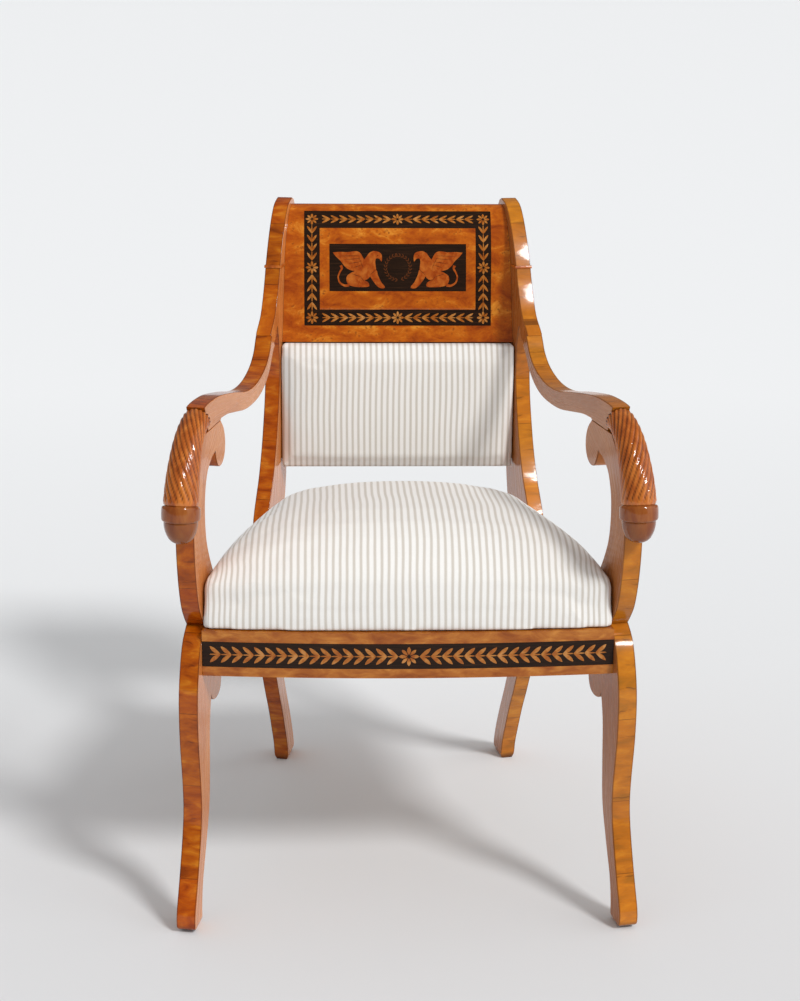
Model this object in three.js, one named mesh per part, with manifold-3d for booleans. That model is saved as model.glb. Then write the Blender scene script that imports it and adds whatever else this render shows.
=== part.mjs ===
// Klismos armchair in figured birch: sabre legs, scrolled stiles, carved hand rests,
// an ebonised and inlaid crest and front rail, an upholstered back panel and a loose sprung seat.
// Millimetres. +Z is up, the chair faces -Y, and the origin is on the floor under its middle.

import * as THREE from 'three';
import { mergeVertices } from 'three/addons/utils/BufferGeometryUtils.js';
import Module from 'manifold-3d';

const wasm = await Module();
wasm.setup();

// Overall sizes
const frontWidth = 590;           // outside the side frames, at the front rail
const sideTaper = 10.9;           // degrees that each side frame turns in towards the back
const railTop = 404;              // top of the seat rails above the floor
const railHeight = 62;
const chairHeight = 896;          // top of the scrolls
const armHeight = 691;            // top of the arms, at the hand rests
const seatDepth = 399;            // along a side frame, from the front rail's face to the back post

// Boards
const legThickness = 26;
const armThickness = 25;
const stileThickness = 23;
const frontRailThickness = 24;
const rearRailThickness = 22;
const crestThickness = 20;
const frontRailBow = 17;          // how far the front rail swells forward at its middle

// Clearances and joinery
const glueGap = 0.3;              // between pieces that are glued or rest on each other
const looseGap = 1.5;             // round the loose seat
const overrun = 40;               // by which a cutter reaches past what it cuts
const tenonThickness = 9;
const tenonLength = 15;
const tenonShoulder = 10;         // left above and below a tenon
const curveSteps = 3;             // flats to each point of a curved outline

// Colours of the finished surfaces
const birch = new THREE.MeshStandardMaterial({ color: '#b5651f', roughness: 0.25 });
const birchSide = new THREE.MeshStandardMaterial({ color: '#b8804f', roughness: 0.3 });
const carvedBirch = new THREE.MeshStandardMaterial({ color: '#8e4413', roughness: 0.22 });
const ebonised = new THREE.MeshStandardMaterial({ color: '#1d1714', roughness: 0.3 });
const innerPine = new THREE.MeshStandardMaterial({ color: '#c9a36b', roughness: 0.7 });
const ticking = new THREE.MeshStandardMaterial({ color: '#e4e0d9', roughness: 0.9 });
const juteWeb = new THREE.MeshStandardMaterial({ color: '#a98b5c', roughness: 0.95 });
const linenCover = new THREE.MeshStandardMaterial({ color: '#d9cfbd', roughness: 0.95 });
const springSteel = new THREE.MeshStandardMaterial({ color: '#8a8580', roughness: 0.4, metalness: 0.9 });
const screwSteel = new THREE.MeshStandardMaterial({ color: '#6f6a60', roughness: 0.45, metalness: 0.9 });

// Solids: three.js makes every shape, and manifold-3d joins and cuts them
function solid(geometry) {
  const bare = geometry.clone();
  bare.deleteAttribute('normal');
  bare.deleteAttribute('uv');
  const merged = mergeVertices(bare);
  return new wasm.Manifold(new wasm.Mesh({
    numProp: 3,
    vertProperties: new Float32Array(merged.attributes.position.array),
    triVerts: new Uint32Array(merged.index.array),
  }));
}

function geometryOf(manifold) {
  const { numProp, vertProperties, triVerts } = manifold.getMesh();
  const places = new Float32Array(vertProperties.length / numProp * 3);
  for (let i = 0; i < places.length / 3; i += 1) {
    for (let axis = 0; axis < 3; axis += 1) places[i * 3 + axis] = vertProperties[i * numProp + axis];
  }
  const geometry = new THREE.BufferGeometry();
  geometry.setAttribute('position', new THREE.BufferAttribute(places, 3));
  geometry.setIndex(new THREE.BufferAttribute(new Uint32Array(triVerts), 1));
  geometry.computeVertexNormals();
  return geometry;
}

function cut(geometry, ...cutters) {
  return geometryOf(cutters.reduce((left, cutter) => left.subtract(solid(cutter)), solid(geometry)));
}

function join(...geometries) {
  const [first, ...others] = geometries.map(solid);
  return geometryOf(others.reduce((sum, other) => sum.add(other), first));
}

function keep(geometry, limit) {
  return geometryOf(solid(geometry).intersect(solid(limit)));
}

function box([x0, x1], [y0, y1], [z0, z1]) {
  const geometry = new THREE.BoxGeometry(x1 - x0, y1 - y0, z1 - z0);
  return geometry.translate((x0 + x1) / 2, (y0 + y1) / 2, (z0 + z1) / 2);
}

function moved(geometry, x, y, z) {
  return geometry.clone().translate(x, y, z);
}

function mirrored(geometry) {
  const copy = geometry.index ? geometry.toNonIndexed() : geometry.clone();
  const places = copy.attributes.position;
  for (let i = 0; i < places.count; i += 3) {
    for (const corner of [i, i + 1, i + 2]) places.setX(corner, -places.getX(corner));
    const [x, y, z] = [places.getX(i + 1), places.getY(i + 1), places.getZ(i + 1)];
    places.setXYZ(i + 1, places.getX(i + 2), places.getY(i + 2), places.getZ(i + 2));
    places.setXYZ(i + 2, x, y, z);
  }
  copy.computeVertexNormals();
  return copy;
}

// Outlines are drawn in a plane seen from the side: run towards the back, rise upwards.
// Each is a list of shares of the two named lengths that it follows.
function outlinePoints(shares, run, rise, startRun = 0, startRise = 0) {
  return shares.map(([across, up]) => new THREE.Vector2(startRun + across * run, startRise + up * rise));
}

function outline(...stretches) {
  const [[first]] = stretches;
  const shape = new THREE.Shape();
  shape.moveTo(first.x, first.y);
  for (const [start, ...rest] of stretches) {
    if (start !== first) shape.lineTo(start.x, start.y);
    if (rest.length === 1) shape.lineTo(rest[0].x, rest[0].y);
    if (rest.length > 1) shape.splineThru(rest);
  }
  return shape;
}

// A side view outline becomes a board: run to +Y, rise to +Z, its thickness from x0 to x1
const sideView = new THREE.Matrix4().makeBasis(
  new THREE.Vector3(0, 1, 0), new THREE.Vector3(0, 0, 1), new THREE.Vector3(1, 0, 0));

function boardFrom(shape, [x0, x1], steps = curveSteps) {
  const settings = { depth: x1 - x0, bevelEnabled: false, curveSegments: steps };
  const geometry = new THREE.ExtrudeGeometry(shape, settings);
  return geometry.applyMatrix4(sideView).translate(x0, 0, 0);
}

// A plan outline becomes a slab between two heights
function slabFrom(shape, [z0, z1], steps = curveSteps) {
  const settings = { depth: z1 - z0, bevelEnabled: false, curveSegments: steps };
  const geometry = new THREE.ExtrudeGeometry(shape, settings);
  return geometry.translate(0, 0, z0);
}

// A box turned in the side view, from a seam point along and across a direction given in degrees
function seamBox(x, [along0, along1], [across0, across1], point, degrees) {
  const geometry = box(x, [along0, along1], [across0, across1]);
  return geometry.rotateX(THREE.MathUtils.degToRad(degrees)).translate(0, point.x, point.y);
}

// The right side frame's place: its outer face is x = 0 in its own frame, and its wood is at x < 0
const taper = THREE.MathUtils.degToRad(sideTaper);
const rightPlace = new THREE.Matrix4().makeRotationZ(taper).setPosition(frontWidth / 2, 0, 0);
const intoRight = rightPlace.clone().invert();

function seenFromRight(geometry) {
  return geometry.clone().applyMatrix4(intoRight);
}

// What lies past a plane inside each side frame's outer face, and so is trimmed off a cross piece
const sideReach = seatDepth + chairHeight;
function pastSide(setback) {
  const right = box([-setback, sideReach], [-sideReach, sideReach], [-sideReach, sideReach])
    .applyMatrix4(rightPlace);
  return [right, mirrored(right)];
}

function insideWidthAt(y, setback) {
  return frontWidth / 2 - setback / Math.cos(taper) - y * Math.tan(taper);
}

// Front legs: a sabre outline, with an ear behind it that the side rail is tenoned into
const legReach = 61;              // the toe stands this far ahead of the rail
const legBlockDepth = 103;        // the leg's top, back to the side rail's shoulder
const earDepth = 58;              // the ear hangs this far below the rail
const footBelow = 0;
const legFrontShares = [[0.38, 1], [0.04, 0.958], [-0.2, 0.885], [-0.37, 0.78], [-0.37, 0.64],
  [-0.24, 0.49], [-0.215, 0.39], [-0.36, 0.295], [-0.7, 0.16], [-0.93, 0.08], [-0.98, 0.04],
  [-0.93, 0.013], [-0.66, 0]];
const legRearShares = [[-0.36, 0], [-0.37, 0.06], [-0.24, 0.145], [0.09, 0.25], [0.42, 0.37],
  [0.53, 0.51], [0.6, 0.645], [0.75, 0.73]];
const earShares = [[0.76, 0.24], [0.9, 0.08], [1.2, 0], [1.5, 0.06], [1.66, 0.3], [1.66, 0.62],
  [1.69, 1]];
const railBottom = railTop - railHeight;
const legFront = outlinePoints(legFrontShares, legReach, railTop, 0, footBelow);
const legRear = outlinePoints(legRearShares, legReach, railTop, 0, footBelow);
const ear = outlinePoints(earShares, legReach, earDepth, 0, railBottom - earDepth);
const legTopRear = new THREE.Vector2(legBlockDepth, railTop);
const legOutline = outline([legTopRear, legFront[0]], legFront, legRear, ear,
  [new THREE.Vector2(legBlockDepth, railBottom), legTopRear]);

// Arm supports: they stand on the legs' notched tops and end in a small scroll under the arm
const supportFoot = 72;
const armFrontDepth = 36;         // depth of the arm over its support
const armTenonShare = 0.33;       // a slanted tenon's depth, as a share of that
const armSeamRise = armHeight - armFrontDepth;
const supportFrontShares = [[0, 0], [-0.14, 0.045], [-0.32, 0.12], [-0.46, 0.24], [-0.545, 0.38],
  [-0.57, 0.5], [-0.56, 0.64], [-0.44, 0.8], [0.3, 1]];
const scrollShares = [[1.45, 1], [1.67, 0.945], [1.765, 0.87], [1.7, 0.8], [1.5, 0.76], [1.24, 0.765],
  [1.08, 0.82], [1.03, 0.862]];
const supportRearShares = [[0.76, 0.845], [0.44, 0.79], [0.25, 0.69], [0.2, 0.57], [0.27, 0.44],
  [0.48, 0.325], [0.76, 0.21], [0.93, 0.1], [0.98, 0]];
const supportStart = legFront[0].x;
const supportRise = armSeamRise - railTop - glueGap;
function supportPoints(shares) {
  return outlinePoints(shares, supportFoot, supportRise, supportStart, railTop + glueGap);
}
const supportFront = supportPoints(supportFrontShares);
const supportScroll = supportPoints(scrollShares);
const supportRear = supportPoints(supportRearShares);
const supportOutline = outline(supportFront, supportScroll, supportRear);

// Arms: they sweep down from the stiles and forward to the hand rests
const armBack = 55;               // the arm meets its stile this far behind the post's front
const armSpan = seatDepth + armBack;
const armDip = 31;                // the arm's top dips this far below the hand rest
const armTopShares = [[0.98, 0.82], [0.958, 0.4], [0.93, -0.1], [0.87, -0.6], [0.78, -0.92], [0.69, -1],
  [0.59, -0.88], [0.48, -0.56], [0.38, -0.3], [0.28, -0.08], [0.2, 0], [0.13, 0], [0.06, -0.12]];
const armUnderShares = [[0.286, -1.1], [0.37, -1.18], [0.48, -1.44], [0.583, -1.68], [0.68, -1.75],
  [0.78, -1.68], [0.86, -1.4], [0.93, -0.86], [0.98, -0.15], [1.03, 0.3], [1.053, 0.65]];
const armTop = outlinePoints(armTopShares, armSpan, armDip, 0, armHeight);
const armUnder = outlinePoints(armUnderShares, armSpan, armDip, 0, armHeight);
const armFrontLow = new THREE.Vector2(armTop.at(-1).x, armSeamRise + glueGap);
const armBackLow = new THREE.Vector2(armUnder[0].x, armSeamRise + glueGap);
const armOutline = outline(armTop, [armFrontLow, armBackLow], armUnder);

// Back stiles: one board each, from the back foot through the knee to the scroll at the top
const scrollRadius = 20;
const scrollOverhang = 143;       // from the arm's seam with the stile back to the middle of the scroll
const scrollReach = armSpan + scrollOverhang;
const headRise = chairHeight - armHeight;
const postRise = armHeight - railTop;
const scrollCentre = new THREE.Vector2(scrollReach, chairHeight - scrollRadius);
const stileForeShares = [[0.958, 0.06], [0.98, 0.122], [1.036, 0.21], [1.072, 0.32], [1.103, 0.45],
  [1.122, 0.55], [1.145, 0.65], [1.175, 0.76], [1.215, 0.88], [1.26, 0.965]];
const stileBackShares = [[1.262, 0.75], [1.235, 0.58], [1.222, 0.35], [1.217, 0.05]];
const postBackShares = [[1.217, 0.8], [1.207, 0.5]];
const kneeBackShares = [[1.34, 1.16], [1.3, 1.05], [1.255, 0.935], [1.213, 0.77], [1.2, 0.62],
  [1.228, 0.47], [1.29, 0.34], [1.37, 0.2], [1.42, 0.1], [1.443, 0.03], [1.43, 0]];
const kneeFrontShares = [[1.337, 0], [1.322, 0.07], [1.285, 0.15], [1.235, 0.25], [1.17, 0.36],
  [1.1, 0.5], [1.045, 0.68], [1.008, 0.84], [1, 0.96], [1.018, 1.075]];
const postFrontShares = [[0.942, 0.22], [0.985, 0.31], [1.03, 0.445], [1.06, 0.57], [1.087, 0.71],
  [1.1, 0.85], [1.094, 0.99]];
const crotchShares = [[1.075, 0.12], [1.057, 0.11], [1.047, 0.06], [1.013, 0.02], [0.987, -0.015]];
const stileFore = outlinePoints(stileForeShares, armSpan, headRise, 0, armHeight);
const stileBack = [
  ...outlinePoints(stileBackShares, armSpan, headRise, 0, armHeight),
  ...outlinePoints(postBackShares, armSpan, postRise, 0, railTop),
  ...outlinePoints(kneeBackShares, seatDepth, railTop),
];
const stileFrontUp = [
  ...outlinePoints(kneeFrontShares, seatDepth, railTop),
  ...outlinePoints(postFrontShares, armSpan, postRise, 0, railTop),
];
const stileCrotch = outlinePoints(crotchShares, armSpan, headRise, 0, armHeight);
const quarterTurn = Math.PI / 2;
const scrollTurn = quarterTurn * 1.1;
const stileOutline = new THREE.Shape();
stileOutline.moveTo(stileFore[0].x, stileFore[0].y);
stileOutline.splineThru([...stileFore.slice(1), new THREE.Vector2(scrollCentre.x, chairHeight)]);
stileOutline.absarc(scrollCentre.x, scrollCentre.y, scrollRadius, quarterTurn, -scrollTurn, true);
stileOutline.splineThru(stileBack);
stileOutline.lineTo(stileFrontUp[0].x, stileFrontUp[0].y);
stileOutline.splineThru(stileFrontUp.slice(1));
stileOutline.splineThru(stileCrotch);

// Hand rests: a carved horn, its collar and a bud, swept down the front of each arm support
const hornReach = 112;            // from the horn's start to its frontmost axis point
const hornDrop = 143;             // from the horn's start to the tip of the bud
const hornRadius = 23;
const hornStartShare = 0.75;      // how far back over the support's foot the horn begins
const hornStart = new THREE.Vector2(
  supportStart + supportFoot * hornStartShare, armHeight - armFrontDepth / 2);
const hornAxisShares = [[0, 0], [-0.32, 0.02], [-0.6, 0.14], [-0.82, 0.35], [-0.95, 0.565], [-1, 0.77],
  [-1, 1]];
const hornGirthShares = [[0, 0.76], [0.2, 0.78], [0.4, 0.86], [0.6, 0.95], [0.755, 1], [0.76, 1.06],
  [0.8, 1.09], [0.84, 1.06], [0.845, 0.95], [0.9, 0.9], [0.95, 0.72], [0.985, 0.42]];
const hornSides = 20;
const hornAxis = new THREE.SplineCurve(
  outlinePoints(hornAxisShares, hornReach, -hornDrop, hornStart.x, hornStart.y));

function hornFrom(swell) {
  const rings = hornGirthShares.map(([along, girth]) => {
    const centre = hornAxis.getPointAt(along);
    const heading = hornAxis.getTangentAt(along);
    const outward = new THREE.Vector3(0, heading.y, -heading.x);
    return Array.from({ length: hornSides }, (_, side) => {
      const turn = side / hornSides * Math.PI * 2;
      const radius = hornRadius * girth + swell;
      return new THREE.Vector3(-armThickness / 2 + Math.cos(turn) * radius, centre.x, centre.y)
        .addScaledVector(outward, Math.sin(turn) * radius);
    });
  });
  const start = hornAxis.getPointAt(0);
  const tip = hornAxis.getPointAt(1);
  return tubeOf(rings, new THREE.Vector3(-armThickness / 2, start.x, start.y),
    new THREE.Vector3(-armThickness / 2, tip.x, tip.y - swell));
}

// A closed tube through rings of equally many points, with its ends drawn to two points
function tubeOf(rings, startPoint, endPoint) {
  const sides = rings[0].length;
  const places = [...rings.flat(), startPoint, endPoint].flatMap((point) => point.toArray());
  const [startIndex, endIndex] = [rings.length * sides, rings.length * sides + 1];
  const faces = [];
  for (let side = 0; side < sides; side += 1) {
    const next = (side + 1) % sides;
    faces.push(startIndex, next, side);
    for (let ring = 0; ring < rings.length - 1; ring += 1) {
      const [low, high] = [ring * sides, (ring + 1) * sides];
      faces.push(low + side, low + next, high + side, low + next, high + next, high + side);
    }
    const last = (rings.length - 1) * sides;
    faces.push(last + side, last + next, endIndex);
  }
  const geometry = new THREE.BufferGeometry();
  geometry.setAttribute('position', new THREE.Float32BufferAttribute(places, 3));
  geometry.setIndex(faces);
  geometry.computeVertexNormals();
  return geometry;
}

// Saw cuts and tenons that the boards of a side frame share
const cutX = [-overrun * 2, overrun];
const sideSpan = seatDepth + chairHeight;
const stileSeamRiseShare = 0.2;
const stileSeam = new THREE.Vector2(armSpan, armHeight + armDip * stileSeamRiseShare);
const stileSeamAngle = 45;        // degrees that the arm rises at its seam with the stile
const stileSeamReach = 60;
const hornSeamShare = 0.466;
const hornSeam = new THREE.Vector2(supportStart + supportFoot * hornSeamShare, armHeight - hornRadius);
const hornSeamAngle = 25;
const bridleShare = 0.33;         // how deep a slanted tenon is rooted, as a share of its length

function swollen([low, high], swell) {
  return [low - swell, high + swell];
}

function middleThird(thickness, swell) {
  return swollen([-(thickness + tenonThickness) / 2, -(thickness - tenonThickness) / 2], swell);
}

function stileSeamCut(along) {
  return seamBox(cutX, along, [-stileSeamReach / 2, stileSeamReach / 2], stileSeam, stileSeamAngle);
}

function hornSeamCut(along) {
  return seamBox(cutX, along, [-sideSpan, sideSpan], hornSeam, hornSeamAngle);
}

function armTenon(swell) {
  const along = [-tenonLength * bridleShare, tenonLength + swell];
  const across = swollen(middleOf([0, 0], armFrontDepth * armTenonShare), swell);
  return seamBox(middleThird(stileThickness, swell), along, across, stileSeam, stileSeamAngle);
}

function supportHeadTenon(swell) {
  const middle = supportStart + supportFoot;
  return box(middleThird(armThickness, swell), swollen([middle - tenonLength, middle + tenonLength], swell),
    [armSeamRise - tenonLength, armSeamRise + tenonLength + swell]);
}

function supportFootTenon(swell) {
  const middle = supportStart + supportFoot / 2;
  return box(middleThird(armThickness, swell), swollen([middle - tenonLength, middle + tenonLength], swell),
    [railTop - tenonLength - swell, railTop + tenonLength]);
}

const railTenonRise = [railBottom + tenonShoulder, railTop - tenonShoulder];
function sideRailTenon(swell) {
  const along = [legBlockDepth - tenonLength, seatDepth + tenonLength];
  return box(middleThird(stileThickness, swell), swollen(along, swell), swollen(railTenonRise, swell));
}

// A tenon on each end of a cross piece, and the same grown to cut its mortises
function crossTenon(depth, rise, thickness, swell) {
  const bar = box([-frontWidth, frontWidth], swollen(depth, swell), swollen(rise, swell));
  return cut(bar, ...pastSide(thickness - tenonLength - swell));
}

function crossPiece(body, thickness, tenonDepth, tenonRise) {
  return join(cut(body, ...pastSide(thickness + glueGap)), crossTenon(tenonDepth, tenonRise, thickness, 0));
}

function middleOf([low, high], width) {
  return [(low + high - width) / 2, (low + high + width) / 2];
}

// Front rail, bowed forward, with an ebonised band let into its face
const bandHeight = 34;
const bandBelowTop = 15;
const veneerDepth = 1.2;
const bowSteps = 16;
const frontTenonDrop = 26;        // below the rail's top, because the leg is notched in front

function bowedPlan(front, back, backBowed) {
  const half = frontWidth / 2;
  const shape = new THREE.Shape();
  shape.moveTo(-half, front);
  shape.quadraticCurveTo(0, front - frontRailBow * 2, half, front);
  shape.lineTo(half, back);
  if (backBowed) shape.quadraticCurveTo(0, back - frontRailBow * 2, -half, back);
  else shape.lineTo(-half, back);
  return shape;
}

const railRise = [railBottom, railTop];
const bandRise = [railTop - bandBelowTop - bandHeight, railTop - bandBelowTop];
const frontTenonDepth = middleOf([0, frontRailThickness], tenonThickness);
const frontTenonRise = [railBottom + tenonShoulder, railTop - frontTenonDrop];
const bandBody = slabFrom(bowedPlan(0, veneerDepth, true), bandRise, bowSteps);
const bandRoom = slabFrom(
  bowedPlan(-overrun, veneerDepth + glueGap, true), swollen(bandRise, glueGap), bowSteps);
const frontRailBody = slabFrom(bowedPlan(0, frontRailThickness, false), railRise, bowSteps);
const frontRailWhole = crossPiece(frontRailBody, legThickness, frontTenonDepth, frontTenonRise);
const frontRailBand = cut(bandBody, ...pastSide(legThickness + glueGap));

// Rear rail, between the knees of the stiles
const rearRailShare = 1.1025;     // its front face, as a share of the side frames' depth to the post
const rearRailPlace = seatDepth * Math.cos(taper) * rearRailShare;
const rearRailDepth = [rearRailPlace, rearRailPlace + rearRailThickness];
const rearTenonDepth = middleOf(rearRailDepth, tenonThickness);
const rearRailWhole = crossPiece(box([-frontWidth, frontWidth], rearRailDepth, railRise), stileThickness,
  rearTenonDepth, railTenonRise);

// Crest board, cut hollow and rolled backwards at its top, with two veneered grounds let in
const crestRun = armSpan * Math.cos(taper);
const crestTopDrop = 9;           // the crest's top lies this far below the scrolls
const crestFaceShares = [[1.124, -0.015], [1.139, 0.09], [1.155, 0.28], [1.169, 0.5], [1.189, 0.67],
  [1.222, 0.825], [1.262, 0.925]];
const crestRollShare = 1.292;
const crestSteps = 3;
const noseSteps = 4;
const crestUnder = armHeight + headRise * crestFaceShares[0][1];
const crestRoll = new THREE.Vector2(crestRun * crestRollShare, chairHeight - crestTopDrop);
const crestFace = new THREE.SplineCurve([
  ...outlinePoints(crestFaceShares, crestRun, headRise, 0, armHeight), crestRoll]);
const crestFacePoints = crestFace.getPoints(crestFace.points.length * crestSteps);

function beside(points, distance) {
  return points.map((point, index) => {
    const before = points[Math.max(index - 1, 0)];
    const after = points[Math.min(index + 1, points.length - 1)];
    const along = after.clone().sub(before).normalize();
    return new THREE.Vector2(point.x + along.y * distance, point.y - along.x * distance);
  });
}

function crestStrip(front, back) {
  return new THREE.Shape([...beside(crestFacePoints, front), ...beside(crestFacePoints, back).reverse()]);
}

function crestShape() {
  const back = beside(crestFacePoints, crestThickness);
  const centre = crestRoll.clone().add(back.at(-1)).divideScalar(2);
  const upward = crestRoll.clone().sub(centre);
  const onward = new THREE.Vector2(upward.y, -upward.x);
  const nose = Array.from({ length: noseSteps - 1 }, (_, step) => {
    const turn = (step + 1) / noseSteps * Math.PI;
    return centre.clone().addScaledVector(upward, Math.cos(turn)).addScaledVector(onward, Math.sin(turn));
  });
  return new THREE.Shape([...crestFacePoints, ...nose, ...back.reverse()]);
}

const crestBody = keep(boardFrom(crestShape(), [-frontWidth / 2, frontWidth / 2]),
  box([-frontWidth, frontWidth], [0, sideSpan], [crestUnder, sideSpan]));
const veneerPlaceShare = 1.26;
const borderSideMargin = 22.4;    // from the stile's inner face to the border
const borderWidth = 23;
const tabletSideMargin = 15;      // from the border to the tablet
const borderRiseShares = [0.102, 0.912];
const windowRiseShares = [0.215, 0.8];
const tabletRiseShares = [0.351, 0.688];
const borderHalfWidth = insideWidthAt(crestRun * veneerPlaceShare, stileThickness) - borderSideMargin;
const windowHalfWidth = borderHalfWidth - borderWidth;
const tabletHalfWidth = windowHalfWidth - tabletSideMargin;

function headRiseAt(shares) {
  return shares.map((share) => armHeight + headRise * share);
}

// A veneer follows the crest's hollow face; with a swell it is the room that is cut for it
function crestVeneer(halfWidth, riseShares, swell) {
  const front = swell > 0 ? -crestThickness : 0;
  const strip = boardFrom(crestStrip(front, veneerDepth + swell), swollen([-halfWidth, halfWidth], swell));
  return keep(strip, box([-frontWidth, frontWidth], [0, sideSpan], swollen(headRiseAt(riseShares), swell)));
}

function crestBorder(swell) {
  const window = box(swollen([-windowHalfWidth, windowHalfWidth], -swell), [0, sideSpan],
    swollen(headRiseAt(windowRiseShares), -swell));
  return cut(crestVeneer(borderHalfWidth, borderRiseShares, swell), window);
}

function crestTablet(swell) {
  return crestVeneer(tabletHalfWidth, tabletRiseShares, swell);
}

const crestTenonShare = 1.166;
const crestTenonRiseShares = [0.13, 0.38];
const crestTenonDepth = [crestRun * crestTenonShare, crestRun * crestTenonShare + tenonThickness];
const crestTenonRise = headRiseAt(crestTenonRiseShares);
const crestWhole = crossPiece(crestBody, stileThickness, crestTenonDepth, crestTenonRise);

// Back panel: webbing on a tenoned frame, a stuffed pad on its front and a cover on its back
const padBottomShare = 0.334;     // the pad's lower edge, up the posts from the seat rails
const padPlaceShare = 1.0767;     // the pad's face, as a share of the crest's own run
const padPlace = crestRun * padPlaceShare;
const padThickness = 24;
const padCrown = 7;
const padSideGap = 1.2;
const backFrameThickness = 20;
const backFrameShare = 0.16;      // a cross rail's width, as a share of the pad's height
const backStripWidth = 22;
const backFrameInset = 4.5;
const webThickness = 1.6;
const webWidthShare = 0.085;      // a strap's width, as a share of the chair's width
const webWidth = frontWidth * webWidthShare;
const webGap = 0.4;
const coverThickness = 1.6;
const coverOverlap = 12;          // the cover's top edge reaches this far up behind the crest
const padRise = [railTop + postRise * padBottomShare, crestUnder - glueGap];
const padBack = padPlace + padThickness;
const backFrameWidth = (padRise[1] - padRise[0]) * backFrameShare;
const crossWebDepth = [padBack + glueGap, padBack + glueGap + webThickness];
const backStripFront = crossWebDepth[1] + glueGap;
const uprightWebDepth = [crossWebDepth[1] + webGap, crossWebDepth[1] + webGap + webThickness];
const backRailFront = uprightWebDepth[1] + glueGap;
const backRailDepth = [backRailFront, backRailFront + backFrameThickness];
const backTenonDepth = middleOf(backRailDepth, tenonThickness);
const lowRailRise = [padRise[0] + backFrameInset, padRise[0] + backFrameInset + backFrameWidth];
const highRailRise = [padRise[1] - backFrameInset - backFrameWidth, padRise[1] - backFrameInset];
const backMiddle = (lowRailRise[0] + highRailRise[1]) / 2;
const coverDepth = [backRailDepth[1] + glueGap, backRailDepth[1] + glueGap + coverThickness];

function backCrossRail(rise) {
  const body = box([-frontWidth, frontWidth], backRailDepth, rise);
  return crossPiece(body, stileThickness, backTenonDepth, middleOf(rise, tenonThickness * 2));
}

function backMortises(swell) {
  return [lowRailRise, highRailRise].map((rise) => crossTenon(backTenonDepth,
    middleOf(rise, tenonThickness * 2), stileThickness, swell));
}

function alongRightSide([near, far], depth, rise) {
  const bar = box([-far, -near], [0, sideSpan], rise).applyMatrix4(rightPlace);
  return keep(bar, box([0, frontWidth], depth, rise));
}

const backStripSet = [stileThickness + glueGap, stileThickness + glueGap + backStripWidth];
const backStripRight = alongRightSide(backStripSet, [backStripFront, backRailDepth[1]],
  [lowRailRise[1] + glueGap, highRailRise[0] - glueGap]);
const backCover = cut(box([-frontWidth, frontWidth], coverDepth, [lowRailRise[0], crestUnder + coverOverlap]),
  ...pastSide(stileThickness + padSideGap));
const backWebHalf = backMiddle - lowRailRise[0] - backFrameInset;
const uprightWebShare = 0.35;      // how far out an upright strap stands, of the half width inside the stiles
const uprightWebPlace = insideWidthAt(padBack, stileThickness) * uprightWebShare;

function uprightWeb(place) {
  return box([place - webWidth / 2, place + webWidth / 2], uprightWebDepth,
    [backMiddle - backWebHalf, backMiddle + backWebHalf]);
}

const crossWeb = cut(box([-frontWidth, frontWidth], crossWebDepth,
  [backMiddle - webWidth / 2, backMiddle + webWidth / 2]), ...pastSide(stileThickness + backFrameInset));

// A closed pillow over a grid: a front and a back sheet that meet round their common rim
function pillow(columns, rows, placeOf) {
  const places = [];
  const faces = [];
  const wide = columns + 1;
  const layer = wide * (rows + 1);
  for (const front of [true, false]) {
    for (let r = 0; r <= rows; r += 1) {
      for (let c = 0; c <= columns; c += 1) {
        places.push(...placeOf(c / columns * 2 - 1, r / rows * 2 - 1, front).toArray());
      }
    }
  }
  const quad = (a, b, c, d) => faces.push(a, b, c, a, c, d);
  for (let r = 0; r < rows; r += 1) {
    for (let c = 0; c < columns; c += 1) {
      const near = r * wide + c;
      quad(near, near + 1, near + wide + 1, near + wide);
      quad(layer + near, layer + near + wide, layer + near + wide + 1, layer + near + 1);
    }
  }
  for (let c = 0; c < columns; c += 1) {
    const top = rows * wide + c;
    quad(c + 1, c, layer + c, layer + c + 1);
    quad(top, top + 1, layer + top + 1, layer + top);
  }
  for (let r = 0; r < rows; r += 1) {
    const left = r * wide;
    const right = left + columns;
    quad(left, left + wide, layer + left + wide, layer + left);
    quad(right + wide, right, layer + right, layer + right + wide);
  }
  const geometry = new THREE.BufferGeometry();
  geometry.setAttribute('position', new THREE.Float32BufferAttribute(places, 3));
  geometry.setIndex(faces);
  geometry.computeVertexNormals();
  return geometry;
}

// Fullness runs from 1 in the middle of a stuffed face to 0 at its edges
function fullness(across, up, power) {
  return Math.sqrt(Math.max(0, 1 - Math.abs(across) ** power) * Math.max(0, 1 - Math.abs(up) ** power));
}

const padColumns = 18;
const padRows = 10;
const padEdgeRound = 8;
const padCrownPower = 3;
const padEdgePower = 12;
const backPad = pillow(padColumns, padRows, (across, up, front) => {
  const round = padEdgeRound * (1 - fullness(across, up, padEdgePower));
  const y = front ? padPlace + round - padCrown * fullness(across, up, padCrownPower) : padBack;
  const half = insideWidthAt(y, stileThickness + padSideGap);
  const z = padRise[0] + (up + 1) / 2 * (padRise[1] - padRise[0]);
  return new THREE.Vector3(across * half, y, z);
});

// Corner blocks glued and screwed behind the rails, and ledgers along the sides, carry the loose seat
const blockLeg = 48;
const blockFlat = 8;
const blockBottomGap = 2;
const seatFrameThickness = 24.6;
const seatFrameWidth = 48;
const seatProud = 0.9;            // the seat frame stands this far above the rails
const blockTop = railTop + seatProud - seatFrameThickness - glueGap;
const blockRise = [railBottom + blockBottomGap, blockTop];
const ledgerHeight = 18;
const ledgerWidth = 14;

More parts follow.
